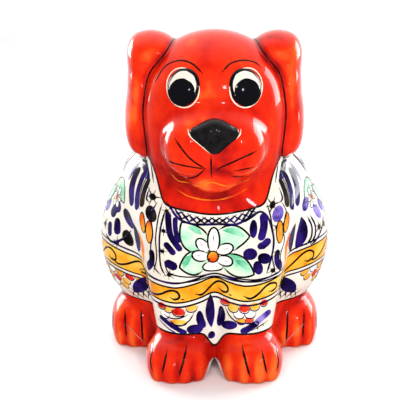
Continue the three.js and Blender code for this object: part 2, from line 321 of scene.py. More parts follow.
@dataclass(frozen=True)
class Proportions:
    """Driving sizes of the hound in millimetres, as the potter's moulds have them."""

    body_middle_y: float
    body: Place = (153, 124, 118)
    head: Place = (93, 88, 110)
    muzzle: Place = (58, 48, 46)
    muzzle_reach: float = 15
    wall: float = 5
    gap: float = 0.3
    neck_tilt: float = math.radians(29)
    neck_radius: float = 38
    shoulder_radius: float = 25
    wrist_radius: float = 18.5
    slot_length: float = 40
    slot_width: float = 6
    slot_below_nape: float = 16
    ear: Place = (19, 50, 77)
    front_paw: Place = (42, 47, 27)
    front_paw_gap: float = 4.6
    hind_paw: Place = (40, 54, 35)
    hind_paw_inset: float = 6
    tail_length: float = 36
    tail_radius: float = 11

    @property
    def head_foot(self) -> float:
        """Height of the foot of the head's box."""
        return self.body[2] - 12

    @property
    def head_middle_y(self) -> float:
        """Middle of the head, front to back."""
        return self.body_middle_y - 12

    def of_body(self, x: float, y: float, z: float) -> Points:
        """Returns a size given as shares of the body's box."""
        return np.array([x, y, z]) * self.body

    def in_body(self, x: float, y: float, z: float) -> Points:
        """Returns a point given as shares of the body's box, from the middle of its foot."""
        return self.of_body(x, y, z) + [0, self.body_middle_y, 0]

    def of_head(self, x: float, y: float, z: float) -> Points:
        """Returns a size given as shares of the head's box."""
        return np.array([x, y, z]) * self.head

    def in_head(self, x: float, y: float, z: float) -> Points:
        """Returns a point given as shares of the head's box, from the middle of its foot."""
        return self.of_head(x, y, z) + [0, self.head_middle_y, self.head_foot]

    def of_muzzle(self, x: float, y: float, z: float) -> Points:
        """Returns a size given as shares of the muzzle's box."""
        return np.array([x, y, z]) * self.muzzle

    def in_muzzle(self, x: float, y: float, z: float) -> Points:
        """Returns a point given as shares of the muzzle's box, from its middle."""
        front = self.head_middle_y - self.head[1] / 2 - self.muzzle_reach
        middle = [0, front + self.muzzle[1] / 2, self.head_foot + 0.44 * self.head[2]]
        return self.of_muzzle(x, y, z) + middle


class HoundForms:
    """The clay forms of the hound, each a distance in millimetres."""

    def __init__(self, size: Proportions) -> None:
        """Shapes every form from the driving sizes."""
        self.size = size
        self.trunk = self._trunk()
        self.muzzle = self._muzzle()
        self.hound = together(5, self.trunk, self.muzzle)
        self.ear = BothSides(self._ear())
        self.front_paw = BothSides(self._front_paw())
        self.hind_paw = BothSides(self._hind_paw())
        self.tail = self._tail()
        self.slot = self._slot_tunnel()
        paws = together(3.5, together(6, self.hound, self.front_paw), self.hind_paw)
        stuck_on = together(4, together(3.5, paws, self.ear), self.tail)
        self.figure = Cut(1.6, stuck_on, (lambda p: p[:, 2], self.slot))

    def _trunk(self) -> Form:
        """Returns body, legs, neck and skull in one."""
        s = self.size
        back = Ball(s.in_body(0, 0.08, 0.62), s.of_body(0.33, 0.37, 0.5))
        shoulders = BothSides(Ball(s.in_body(0.215, 0.03, 0.9), s.of_body(0.2, 0.29, 0.29)))
        rump = Ball(s.in_body(0, 0.09, 0.2), s.of_body(0.36, 0.36, 0.44))
        haunches = BothSides(Ball(s.in_body(0.25, 0.12, 0.61), s.of_body(0.25, 0.335, 0.435)))
        chest = Ball(s.in_body(0, -0.09, 0.83), s.of_body(0.345, 0.34, 0.34))
        top, foot = s.in_body(0.165, -0.19, 0.82), s.in_body(0.113, -0.345, 0.17)
        foreleg = Roll(top, foot, s.shoulder_radius, s.wrist_radius)
        neck = Roll(s.in_body(0, -0.06, 0.9), s.in_head(0, 0, 0.4), s.neck_radius + 2, s.neck_radius - 3)
        skull = Ball(s.in_head(0, 0, 0.6), s.of_head(0.5, 0.5, 0.4))
        cheeks = Ball(s.in_head(0, -0.04, 0.4), s.of_head(0.47, 0.46, 0.3))
        masses = together(14, back, rump, shoulders, chest, neck, skull, cheeks)
        return together(9, masses, haunches, together(9, foreleg, mirrored(foreleg)))

    def _muzzle(self) -> Form:
        """Returns the muzzle with its jowls and chin."""
        s = self.size
        bridge = Ball(s.in_muzzle(0, 0, 0), s.of_muzzle(0.5, 0.5, 0.5))
        jowls = BothSides(Ball(s.in_muzzle(0.23, -0.08, -0.1), s.of_muzzle(0.31, 0.4, 0.41)))
        chin = Ball(s.in_muzzle(0, -0.1, -0.45), s.of_muzzle(0.29, 0.31, 0.26))
        return together(3, together(6, bridge, jowls), chin)

    def _ear(self) -> Form:
        """Returns the hound's left ear: a flap that hangs from a fold at the crown."""
        s = self.size
        thick, broad, long = s.ear
        x, y = s.head[0] / 2, s.head_middle_y + 9
        top = s.head_foot + s.head[2] - 3
        flap = Ball([x, y, top - long / 2], [thick / 2, broad / 2, long * 0.46], 2.3)
        fold_size = np.array([thick * 0.79, broad * 0.42, long * 0.155])
        fold = Ball([x - thick * 0.42, y - 3, top - fold_size[2] + 1], fold_size)
        tip_size = np.array([thick / 2, broad * 0.42, long * 0.24])
        tip = Ball([x, y, top - long + tip_size[2]], tip_size, 2.3)
        lobe_size = np.array([thick / 2, broad * 0.26, long * 0.17])
        lobe = Ball([x - thick * 0.2, y - broad * 0.3, top - long + lobe_size[2]], lobe_size, 2.3)
        return together(9, flap, fold, tip, lobe)

    def _paw(self, size: Place, x: float, y: float, toes: int) -> Form:
        """Returns a paw that stands on the ground, with toes along its front."""
        width, length, height = size
        pad = Ball([x, y, height * 0.38], [width / 2, length / 2, height * 0.62], 2.25)
        spread = width * 0.3
        front = y - length * 0.3
        places = np.linspace(-spread, spread, toes)
        row = [
            Ball(
                [x + at, front + at * at / width, height * 0.33],
                [width * 0.14, length * 0.21, height * 0.42],
            )
            for at in places
        ]
        return together(3, pad, *row)

    def _front_paw(self) -> Form:
        """Returns the left front paw."""
        s = self.size
        x = (s.front_paw_gap + s.front_paw[0]) / 2
        return self._paw(s.front_paw, x, s.in_body(0, -0.41, 0)[1], 4)

    def _hind_paw(self) -> Form:
        """Returns the left hind paw."""
        s = self.size
        x = (s.body[0] - s.hind_paw[0]) / 2 - s.hind_paw_inset
        return self._paw(s.hind_paw, x, s.in_body(0, 0.08, 0)[1], 4)

    def _tail(self) -> Form:
        """Returns the tail, a short roll that lies up the rump."""
        s = self.size
        root = s.in_body(0, 0.4, 0.14)
        tip = root + np.array([0, 0.5, 0.86]) * s.tail_length
        return Roll(root, tip, s.tail_radius, s.tail_radius * 0.6)

    def _slot_tunnel(self) -> Form:
        """Returns the coin slot's tunnel through the upper back."""
        s = self.size
        z = s.body[2] - s.slot_below_nape
        straight = (s.slot_length - s.slot_width) / 2

        def tunnel(p: Points) -> np.ndarray:
            """Returns the distance of each point from the tunnel's wall."""
            across = np.maximum(np.abs(p[:, 0]) - straight, 0)
            side = np.sqrt(across**2 + (p[:, 2] - z) ** 2) - s.slot_width / 2
            return np.maximum(side, s.in_body(0, 0, 0)[1] + 12 - p[:, 1])

        return tunnel

    def above_seam(self, p: Points) -> np.ndarray:
        """Returns how far each point lies above the neck seam."""
        s = self.size
        lean = np.array([0, -math.sin(s.neck_tilt), math.cos(s.neck_tilt)])
        return (p - s.in_body(0, -0.44, 0.905)) @ lean

    def hollow(self, p: Points) -> np.ndarray:
        """Returns the distance of each point from the wall of the hollow inside body and neck."""
        return self.trunk(p) + self.size.wall


# ---- Meshes ----


def make_mesh(name: str, points: Points, faces: np.ndarray) -> bpy.types.Mesh:
    """Returns a smooth mesh of four-cornered faces.

    Args:
        name: the mesh's name.
        points: its points in millimetres.
        faces: four points for each face; a repeated point makes a triangle.
    """
    mesh = bpy.data.meshes.new(name)
    mesh.vertices.add(len(points))
    mesh.vertices.foreach_set("co", (np.asarray(points) * MM).astype(np.float32).ravel())
    mesh.loops.add(faces.size)
    mesh.loops.foreach_set("vertex_index", faces.astype(np.int32).ravel())
    mesh.polygons.add(len(faces))
    mesh.polygons.foreach_set("loop_start", np.arange(0, faces.size, 4, dtype=np.int32))
    mesh.polygons.foreach_set("loop_total", np.full(len(faces), 4, np.int32))
    mesh.update(calc_edges=True)
    mesh.shade_smooth()
    return mesh


def store(mesh: bpy.types.Mesh, name: str, values: np.ndarray) -> None:
    """Stores a number or a direction for each point of a mesh as a named attribute."""
    kind, slot = ("FLOAT_VECTOR", "vector") if values.ndim == 2 else ("FLOAT", "value")
    attribute = mesh.attributes.new(name, kind, "POINT")
    attribute.data.foreach_set(slot, values.astype(np.float32).ravel())


def show(name: str, mesh: bpy.types.Mesh) -> bpy.types.Object:
    """Returns a new object in the scene that shows a mesh, and reports it."""
    obj = bpy.data.objects.new(name, mesh)
    bpy.context.scene.collection.objects.link(obj)
    log.info("%s: %d faces", name, len(mesh.polygons))
    return obj


def shell_mesh(name: str, skin: Skin, form: Form, thickness: float) -> bpy.types.Mesh:
    """Returns a closed clay shell whose outside is a skin.

    Args:
        name: the mesh's name.
        skin: the outside, open or closed.
        form: the form that the skin lies on, which gives its shading.
        thickness: how thick the clay is, in millimetres.
    """
    count = len(skin.points)
    out = outward(form, skin.points)
    points = np.concatenate([skin.points, skin.points - thickness * out])
    rim = skin.rim()
    walls = np.stack([rim[:, 1], rim[:, 0], rim[:, 0] + count, rim[:, 1] + count], axis=1)
    faces = np.concatenate([skin.faces, skin.faces[:, ::-1] + count, walls])
    mesh = make_mesh(name, points, faces)
    flat = np.cross(points[walls[:, 2]] - points[walls[:, 0]], points[walls[:, 3]] - points[walls[:, 1]])
    flat /= np.maximum(np.linalg.norm(flat, axis=1, keepdims=True), 1e-9)
    corners = [
        out[skin.faces].reshape(-1, 3), -out[skin.faces[:, ::-1]].reshape(-1, 3), np.repeat(flat, 4, axis=0)
    ]
    mesh.normals_split_custom_set(np.concatenate(corners))
    store(mesh, "glaze_thin", np.tile(thinness(form, skin.points), 2))
    return mesh


def thinness(form: Form, points: Points, reach: float = 2.5) -> np.ndarray:
    """Returns how thin the glaze runs at each point: 1 on sharp rises, 0 in folds, where it pools.

    Args:
        form: the form that the points lie on.
        points: the points in millimetres.
        reach: how far around each point the clay is felt.
    """
    around = sum(form(points + sign * reach * axis) for axis in np.eye(3) for sign in (1, -1))
    bend = (around - 6 * form(points)) / reach**2
    return np.clip(0.35 + 3 * bend, 0, 1)


# ---- Finishes ----


class Shades:
    """A small helper that lays nodes in a material and links them."""

    def __init__(self, name: str) -> None:
        """Makes the material and keeps its shader."""
        self.material = bpy.data.materials.new(name)
        self.material.use_nodes = True
        self.nodes = self.material.node_tree.nodes
        self.shader = self.nodes["Principled BSDF"]

    def link(self, source: bpy.types.NodeSocket, target: bpy.types.NodeSocket) -> None:
        """Links one socket to another."""
        self.material.node_tree.links.new(source, target)

    def noise(self, size_mm: float, detail: float, stretch: Place = (1, 1, 1)) -> bpy.types.NodeSocket:
        """Returns noise on object coordinates.

        Args:
            size_mm: the size of its largest spots.
            detail: how many finer steps it has.
            stretch: how much finer it is along each axis.
        """
        place = self.nodes.new("ShaderNodeTexCoord")
        mapping = self.nodes.new("ShaderNodeMapping")
        mapping.inputs["Scale"].default_value = stretch
        noise = self.nodes.new("ShaderNodeTexNoise")
        noise.inputs["Scale"].default_value = 1000 / size_mm
        noise.inputs["Detail"].default_value = detail
        self.link(place.outputs["Object"], mapping.inputs["Vector"])
        self.link(mapping.outputs["Vector"], noise.inputs["Vector"])
        return noise.outputs["Fac"]

    def attribute(self, name: str) -> bpy.types.NodeSocket:
        """Returns a number stored on the mesh."""
        node = self.nodes.new("ShaderNodeAttribute")
        node.attribute_name = name
        return node.outputs["Fac"]

    def sum(self, *terms: tuple[bpy.types.NodeSocket, float]) -> bpy.types.NodeSocket:
        """Returns the sum of sockets, each times its weight."""
        total = None
        for socket, weight in terms:
            node = self.nodes.new("ShaderNodeMath")
            node.operation = "MULTIPLY_ADD"
            node.inputs[1].default_value = weight
            self.link(socket, node.inputs[0])
            if total is None:
                node.inputs[2].default_value = 0
            else:
                self.link(total, node.inputs[2])
            total = node.outputs[0]
        return total

    def ramp(self, amount: bpy.types.NodeSocket, *stops: tuple[float, Place]) -> bpy.types.NodeSocket:
        """Returns a colour that runs through stops of (amount, linear red, green and blue)."""
        node = self.nodes.new("ShaderNodeValToRGB")
        elements = node.color_ramp.elements
        for i, (at, colour) in enumerate(stops):
            element = elements[i] if i < 2 else elements.new(at)
            element.position = at
            element.color = (*colour, 1)
        self.link(amount, node.inputs["Fac"])
        return node.outputs["Color"]

    def bump(self, height: bpy.types.NodeSocket, depth_mm: float) -> None:
        """Gives the shader a relief of about this depth."""
        node = self.nodes.new("ShaderNodeBump")
        node.inputs["Strength"].default_value = 1
        node.inputs["Distance"].default_value = depth_mm * MM
        self.link(height, node.inputs["Height"])
        self.link(node.outputs["Normal"], self.shader.inputs["Normal"])

    def set(self, **values: float) -> None:
        """Sets plain numbers on the shader, by socket name with _ for a space."""
        for name, value in values.items():
            self.shader.inputs[name.replace("_", " ")].default_value = value

    def glassy(self) -> None:
        """Covers the shader with a clear, wet-looking glaze."""
        self.set(Specular_IOR_Level=0.05, Coat_Weight=1.0, Coat_Roughness=0.025, Coat_IOR=1.3)


@dataclass(frozen=True)
class RedGlaze:
    """Transparent orange-red glaze, brushed on unevenly: crimson where it pools, orange where thin."""

    pooled: Place = (0.26, 0.003, 0.003)
    full: Place = (0.60, 0.012, 0.004)
    bright: Place = (0.76, 0.030, 0.005)
    thin: Place = (0.84, 0.13, 0.020)

    def material(self) -> bpy.types.Material:
        """Returns the glaze as a material."""
        s = Shades("red_glaze")
        clouds = s.noise(30, 3)
        strokes = s.noise(11, 5, (1, 1, 0.7))
        amount = s.sum((clouds, 0.75), (strokes, 0.40), (s.attribute("glaze_thin"), 0.30))
        stops = ((0.48, self.pooled), (0.64, self.full), (0.80, self.bright), (0.96, self.thin))
        s.link(s.ramp(amount, *stops), s.shader.inputs["Base Color"])
        rough = s.ramp(s.noise(14, 2), (0.3, (0.16,) * 3), (0.7, (0.30,) * 3))
        s.link(rough, s.shader.inputs["Roughness"])
        s.bump(s.noise(5, 2), 0.03)
        s.glassy()
        return s.material


@dataclass(frozen=True)
class CreamGlaze:
    """Tin-white ground glaze, warm where the clay shows through."""

    white: Place = (0.82, 0.76, 0.68)
    warm: Place = (0.72, 0.60, 0.46)

    def material(self) -> bpy.types.Material:
        """Returns the glaze as a material."""
        s = Shades("cream_glaze")
        amount = s.sum((s.noise(22, 4), 0.8), (s.attribute("glaze_thin"), 0.4))
        s.link(s.ramp(amount, (0.45, self.white), (0.95, self.warm)), s.shader.inputs["Base Color"])
        rough = s.ramp(s.noise(12, 2), (0.3, (0.18,) * 3), (0.7, (0.32,) * 3))
        s.link(rough, s.shader.inputs["Roughness"])
        s.bump(s.noise(6, 3), 0.03)
        s.glassy()
        return s.material


@dataclass(frozen=True)
class BareClay:
    """Unglazed terracotta of the foot."""

    light: Place = (0.55, 0.26, 0.14)
    dark: Place = (0.36, 0.15, 0.08)

    def material(self) -> bpy.types.Material:
        """Returns the clay as a material."""
        s = Shades("bare_clay")
        s.link(s.ramp(s.noise(6, 8), (0.3, self.dark), (0.7, self.light)), s.shader.inputs["Base Color"])
        s.link(s.ramp(s.noise(2, 4), (0.3, (0.75,) * 3), (0.7, (0.95,) * 3)), s.shader.inputs["Roughness"])
        s.bump(s.noise(1.2, 5), 0.15)
        return s.material


@dataclass(frozen=True)
class BlackRubber:
    """Moulded rubber of the stopper."""

    def material(self) -> bpy.types.Material:
        """Returns the rubber as a material."""
        s = Shades("black_rubber")
        s.link(s.ramp(s.noise(8, 4), (0.3, (0.012,) * 3), (0.7, (0.030,) * 3)), s.shader.inputs["Base Color"])
        s.link(s.ramp(s.noise(3, 4), (0.3, (0.45,) * 3), (0.7, (0.68,) * 3)), s.shader.inputs["Roughness"])
        s.bump(s.noise(0.8, 3), 0.02)
        return s.material


# ---- The potter's pieces ----


class Parting:
    """Parts the cast skin into the potter's pieces, along the lines where their forms meet."""

    def __init__(self, forms: HoundForms, skin: Skin) -> None:
        """Says which piece each face belongs to, and draws the borders smooth.

        Args:
            forms: the hound's forms.
            skin: the skin of the whole figure.
        """
        self.forms = forms
        self.borders = {
            "open": forms.hollow,
            "ear": lambda p: forms.ear(p) - forms.hound(p),
            "tail": lambda p: forms.tail(p) - forms.trunk(p),
            "hind_paw": self._on_hind_paw,
            "front_paw": self._below_coat_edge,
            "head": self._above_collar,
        }
        names = list(self.borders)
        middles = skin.points[skin.faces].mean(1)
        values = np.stack([border(middles) for border in self.borders.values()])
        owner = np.where((values < 0).any(0), (values < 0).argmax(0), len(names))
        first = np.full(len(skin.points), 99)
        last = np.full(len(skin.points), -1)
        for i in range(4):
            np.minimum.at(first, skin.faces[:, i], owner)
            np.maximum.at(last, skin.faces[:, i], owner)
        for number, name in enumerate(names):
            on_border = (first == number) & (last > number)
            spots = skin.points[on_border]
            for _ in range(4):
                spots = settle(self.borders[name], spots, rounds=1)
                spots = settle(forms.figure, spots, rounds=1)
            skin.points[on_border] = spots
        self.skin = skin
        self.owner = np.array([*names, "torso"])[owner]
        self.side = np.sign(middles[:, 0])

    def _above_collar(self, p: Points) -> np.ndarray:
        """Returns how far points lie below the edge of the red head, which rises beside the jowls."""
        share = np.clip((np.abs(p[:, 0]) - 30) / 14, 0, 1)
        return 15 * share**2 * (3 - 2 * share) - self.forms.above_seam(p)

    def _on_hind_paw(self, p: Points) -> np.ndarray:
        """Returns how far points lie from the red of the hind paws and of the crease beside them."""
        paw = self.forms.hind_paw(p)
        beside = np.maximum(np.maximum(p[:, 2] - 35, paw - 10), paw - self.forms.front_paw(p))
        return np.minimum(paw - self.forms.trunk(p), beside)

    def _below_coat_edge(self, p: Points) -> np.ndarray:
        """Returns how far points lie above the edge of the painted coat on the front legs."""
        edge = 29.5 - 10 * np.exp(-((p[:, 0] / 5) ** 2))
        behind = p[:, 1] - (self.forms.size.in_body(0, -0.345, 0)[1] + 19)
        return np.maximum(p[:, 2] - edge, behind)

    def piece(self, name: str, side: int = 0) -> Skin:
        """Returns the skin of one piece, on one side of the hound where it has two."""
        keep = (self.owner == name) & ((side == 0) | (self.side == side))
        return self.skin.kept(keep)[0]


@dataclass
class ClayPieces:
    """The glazed earthenware pieces: torso, head, ears, paws and tail."""

    forms: HoundForms
    skin: Skin
    thick_wall: float = 5
    thin_wall: float = 3

    def build(self) -> Parting:
        """Makes a shell for each clay piece, and returns how the skin was parted."""
        parting = Parting(self.forms, self.skin)
        red = RedGlaze().material()
        self._add(parting.piece("torso"), "torso", self.thick_wall, CreamGlaze().material(), "painted_glaze")
        self._add(parting.piece("head"), "head", self.thick_wall, red, "red_glaze")
        self._add(parting.piece("tail"), "tail", self.thin_wall, red, "red_glaze")
        for name in ("ear", "front_paw", "hind_paw"):
            for side, word in ((1, "left"), (-1, "right")):
                self._add(parting.piece(name, side), f"{name}_{word}", self.thin_wall, red, "red_glaze")
        return parting

    def _add(self, skin: Skin, node: str, wall: float, finish: bpy.types.Material, slot: str) -> None:
        """Makes one shell, gives it its glaze and lets it stand for its CAD node."""
        obj = show(f"glazed_{node}", shell_mesh(node, skin, self.forms.figure, wall))
        obj.data.materials.append(finish)
        stand_in(obj, "bank", slot, node)


def stand_in(obj: bpy.types.Object, body: str, slot: str, *nodes: str) -> None:
    """Lets a piece ride on a body, in place of CAD nodes where some are named."""
    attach(obj, body)
    if nodes:
        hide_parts(*nodes)


@dataclass(frozen=True)
class EyeGlaze:
    """Black glaze with a cream crescent over a large pupil, painted by the eye's own across and up."""

    black: Place = (0.004, 0.004, 0.006)
    cream: Place = (0.72, 0.67, 0.58)
    rim: float = 0.83
    pupil_drop: float = 0.28
    pupil_size: float = 0.70
    pupil_squeeze: float = 0.88

    def material(self) -> bpy.types.Material:
        """Returns the glaze as a material."""
        s = Shades("eye_glaze")
        across, up = s.attribute("eye_across"), s.attribute("eye_up")
        wobble = s.noise(5, 1)
        in_rim = self._inside(s, across, up, 0, self.rim, wobble)
        narrow = s.sum((across, self.pupil_squeeze))
        in_pupil = self._inside(s, narrow, up, -self.pupil_drop, self.pupil_size, wobble)
        white = s.sum((in_rim, 1), (in_pupil, -1))
        s.link(s.ramp(white, (0.45, self.black), (0.55, self.cream)), s.shader.inputs["Base Color"])
        s.link(s.ramp(s.noise(4, 2), (0.3, (0.10,) * 3), (0.7, (0.22,) * 3)), s.shader.inputs["Roughness"])
        s.bump(s.noise(4, 2), 0.02)
        s.glassy()
        return s.material

    def _inside(
        self,
        s: Shades,
        across: bpy.types.NodeSocket,
        up: bpy.types.NodeSocket,
        middle: float,
        size: float,
        wobble: bpy.types.NodeSocket,
    ) -> bpy.types.NodeSocket:
        """Returns 1 inside a round spot on the eye and 0 outside, with a brushed edge.

        Args:
            s: the material's nodes.
            across: place across the eye, -1 to 1.
            up: place up the eye, -1 to 1.
            middle: how far above the eye's middle the spot lies.
            size: the spot's radius.
            wobble: noise that makes the edge uneven.
        """
        place = s.nodes.new("ShaderNodeCombineXYZ")
        s.link(across, place.inputs["X"])
        raised = s.nodes.new("ShaderNodeMath")
        raised.operation = "SUBTRACT"
        s.link(up, raised.inputs[0])
        raised.inputs[1].default_value = middle
        s.link(raised.outputs[0], place.inputs["Y"])
        length = s.nodes.new("ShaderNodeVectorMath")
        length.operation = "LENGTH"
        s.link(place.outputs["Vector"], length.inputs[0])
        far = s.sum((length.outputs["Value"], 1), (wobble, 0.08))
        edge = s.nodes.new("ShaderNodeMapRange")
        s.link(far, edge.inputs["Value"])
        edge.inputs["From Min"].default_value = size + 0.03
        edge.inputs["From Max"].default_value = size + 0.05
        edge.inputs["To Min"].default_value = 1
        edge.inputs["To Max"].default_value = 0
        return edge.outputs["Result"]


@dataclass
class Eyes:
    """Two pressed eyes, low domes that lie square to the face."""

    forms: HoundForms
    width: float = 22
    height: float = 24
    spacing: float = 39
    up_the_head: float = 0.74
    bulge: float = 2.0
    depth: float = 2.5
    rings: int = 20
    steps: int = 72

    def build(self) -> None:
        """Makes both eyes."""
        finish = EyeGlaze().material()
        for side, word in ((1, "left"), (-1, "right")):
            obj = show(f"pressed_eye_{word}", self._mesh(side))
            obj.data.materials.append(finish)
            stand_in(obj, "bank", "black_glaze", f"eye_{word}")

    def _mesh(self, side: int) -> bpy.types.Mesh:
        """Returns one eye: a dome whose rim is sunk in the face, closed behind."""
        size = self.forms.size
        seat = size.in_head(0, 0, self.up_the_head)[None] + [side * self.spacing / 2, -size.head[1] / 2, 0]
        seat = cast_along(self.forms.hound, seat, np.array([0, -1, 0]))
        axis = outward(self.forms.hound, seat)[0]
        right = np.cross([0, 0, 1], axis)
        right /= np.linalg.norm(right)
        up = np.cross(axis, right)
        radius = np.linspace(0, 1, self.rings + 1)[1:]
        angle = np.arange(self.steps) * 2 * math.pi / self.steps
        across = np.concatenate([[0], np.outer(radius, np.cos(angle)).ravel()])
        above = np.concatenate([[0], np.outer(radius, np.sin(angle)).ravel()])
        flat = seat + np.outer(across * self.width / 2, right) + np.outer(above * self.height / 2, up)
        face = cast_along(self.forms.hound, flat, axis)
        reach = np.clip(across**2 + above**2, 0, 1)
        dome = self.bulge * np.sqrt(1 - reach * 0.98) - 0.25
        front = face + dome[:, None] * axis
        back = face - self.depth * axis
        faces = self._fan(0, False) + self._fan(len(front), True)
        rim = 1 + (self.rings - 1) * self.steps
        for i in range(self.steps):
            j = (i + 1) % self.steps
            faces.append((rim + i, rim + i + len(front), rim + j + len(front), rim + j))
        mesh = bpy.data.meshes.new("eye")
        mesh.from_pydata((np.concatenate([front, back]) * MM).tolist(), [], faces)
        mesh.shade_smooth()
        store(mesh, "eye_across", np.tile(across, 2) * side)
        store(mesh, "eye_up", np.tile(above, 2))
        return mesh

    def _fan(self, start: int, behind: bool) -> list[tuple[int, ...]]:
        """Returns the faces of one round side of an eye.

        Args:
            start: the number of its middle point.
            behind: whether it faces back into the head.
        """
        faces = []
        for ring in range(self.rings):
            inner, outer = start + 1 + (ring - 1) * self.steps, start + 1 + ring * self.steps
            for i in range(self.steps):
                j = (i + 1) % self.steps
                face = (start, outer + i, outer + j) if ring == 0 else (
                    inner + i, outer + i, outer + j, inner + j
                )
                faces.append(face[::-1] if behind else face)
        return faces


def cast_along(form: Form, points: Points, axis: np.ndarray, rounds: int = 12) -> Points:
    """Returns points slid along one direction until they lie on a form's skin."""
    for _ in range(rounds):
        here, rise = rise_of(form, points)
        slope = rise @ axis
        points = points - np.clip(here / np.maximum(slope, 0.25), -6, 6)[:, None] * axis
    return points


@dataclass(frozen=True)
class BlackGlaze:
    """Thick black glaze of the nose."""

    def material(self) -> bpy.types.Material:
        """Returns the glaze as a material."""
        s = Shades("black_glaze")
        s.link(
            s.ramp(s.noise(6, 3), (0.3, (0.004,) * 3), (0.7, (0.016, 0.013, 0.014))),
            s.shader.inputs["Base Color"],
        )
        s.link(s.ramp(s.noise(5, 2), (0.3, (0.12,) * 3), (0.7, (0.28,) * 3)), s.shader.inputs["Roughness"])
        s.bump(s.noise(4, 2), 0.03)
        s.glassy()
        return s.material


@dataclass
class Nose:
    """The pressed nose, a rounded triangle with its point down."""

    forms: HoundForms
    width: float = 32
    drop: float = 9
    top_radius: float = 7
    corner_radius: float = 5
    tip_radius: float = 3.5
    step: float = 0.6
    sunk: float = 2

    def form(self) -> Form:
        """Returns the nose's form, cut off a little inside the face."""
        top = self.forms.size.in_muzzle(0, -0.42, 0.2)
        corner = top + [self.width / 2 - self.corner_radius, 3, -2]
        tip = top + [0, -1, -self.drop]
        wings = BothSides(Roll(top, corner, self.top_radius, self.corner_radius))
        cheek = Ball(top + [0, 0.6, -4], [self.width * 0.34, 5.4, 9])
        whole = together(6, wings, Roll(top, tip, self.top_radius, self.tip_radius), cheek)
        return Cut(1, whole, (lambda p: self.forms.hound(p) + self.sunk,))

    def build(self) -> None:
        """Makes the nose."""
        form = self.form()
        low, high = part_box("nose")
        margin = Vector((0.004, 0.004, 0.004))
        skin = SkinCaster(form, (low - margin) / MM, (high + margin) / MM, self.step).cast()
        obj = show("pressed_nose", solid_mesh("nose", skin, form))
        obj.data.materials.append(BlackGlaze().material())
        stand_in(obj, "bank", "black_glaze", "nose")


def solid_mesh(name: str, skin: Skin, form: Form) -> bpy.types.Mesh:
    """Returns the mesh of a closed skin, shaded by the form it lies on."""
    mesh = make_mesh(name, skin.points, skin.faces)
    mesh.normals_split_custom_set(outward(form, skin.points)[skin.faces].reshape(-1, 3))
    return mesh


@dataclass
class FootSlab:
    """The bare clay slab that closes the open foot, with the stopper's hole."""

    forms: HoundForms
    recess: float = 5
    thickness: float = 6
    hole_radius: float = 18
    edge: float = 1.2
    step: float = 1.1

    def build(self) -> None:
        """Makes the slab."""
        size = self.forms.size
        middle = self.recess + self.thickness / 2
        hole = Roll(*stopper_axis(size), self.hole_radius, self.hole_radius)
        disc = Cut(
            self.edge,
            lambda p: self.forms.trunk(p) + size.wall + size.gap,
            (lambda p: self.thickness / 2 - np.abs(p[:, 2] - middle), hole),
        )
        low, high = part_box("foot_slab")
        margin = Vector((0.004, 0.004, 0.004))
        skin = SkinCaster(disc, (low - margin) / MM, (high + margin) / MM, self.step).cast()
        obj = show("bare_foot_slab", solid_mesh("foot_slab", skin, disc))
        obj.data.materials.append(BareClay().material())
        stand_in(obj, "bank", "bare_clay", "foot_slab")


def stopper_axis(size: Proportions) -> tuple[Points, Points]:
    """Returns a point far below and one far above the middle of the stopper."""
    middle = size.in_body(0, STOPPER_BACK, 0)
    return middle - [0, 0, 200], middle + [0, 0, 200]


@dataclass
class Stopper:
    """The rubber stopper in the foot, a dished plug with a flange and a bar to pull."""

    size: Proportions
    radius: float = 17.7
    flange_radius: float = 22.5
    foot: float = 1.7
    flange_top: float = 4.7
    top: float = 16
    taper: float = 1.5
    wall: float = 3
    bar_width: float = 4
    step: float = 0.7

    def form(self, p: Points) -> np.ndarray:
        """Returns the distance of each point from the stopper's skin."""
        x, y, z = (p - self.size.in_body(0, STOPPER_BACK, 0)).T
        around = np.hypot(x, y)
        lean = self.taper * np.clip((z - 11) / (self.top - 11), 0, 1)
        plug = np.maximum(around - self.radius + lean, np.maximum(z - self.top, self.foot - z))
        flange = np.maximum(around - self.flange_radius, np.maximum(z - self.flange_top, self.foot - z))
        dish_radius = self.radius - self.taper - self.wall
        dish = np.maximum(around - dish_radius, z - self.top + self.wall)
        bar = np.maximum(
            np.abs(y) - self.bar_width / 2, np.abs(z - self.foot - self.bar_width / 2) - self.bar_width / 2
        )
        bar = np.maximum(bar, around - dish_radius - 1)
        return soft_min(soft_max(soft_min(plug, flange, 1.2), -dish, 1.2), bar, 0.8)

    def build(self) -> None:
        """Makes the stopper."""
        low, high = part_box("rubber_stopper")
        margin = Vector((0.003, 0.003, 0.003))
        skin = SkinCaster(self.form, (low - margin) / MM, (high + margin) / MM, self.step).cast()
        obj = show("moulded_stopper", solid_mesh("stopper", skin, self.form))
        obj.data.materials.append(BlackRubber().material())
        stand_in(obj, "stopper", "black_rubber", "rubber_stopper")


def soft_min(a: np.ndarray, b: np.ndarray, fillet: float) -> np.ndarray:
    """Returns the lesser of two distances, smoothed over a fillet."""
    near = np.maximum(fillet - np.abs(a - b), 0) / fillet
    return np.minimum(a, b) - near * near * fillet / 4


def soft_max(a: np.ndarray, b: np.ndarray, fillet: float) -> np.ndarray:
    """Returns the greater of two distances, smoothed over a fillet."""
    return -soft_min(-a, -b, fillet)


# ---- The painter's brush ----


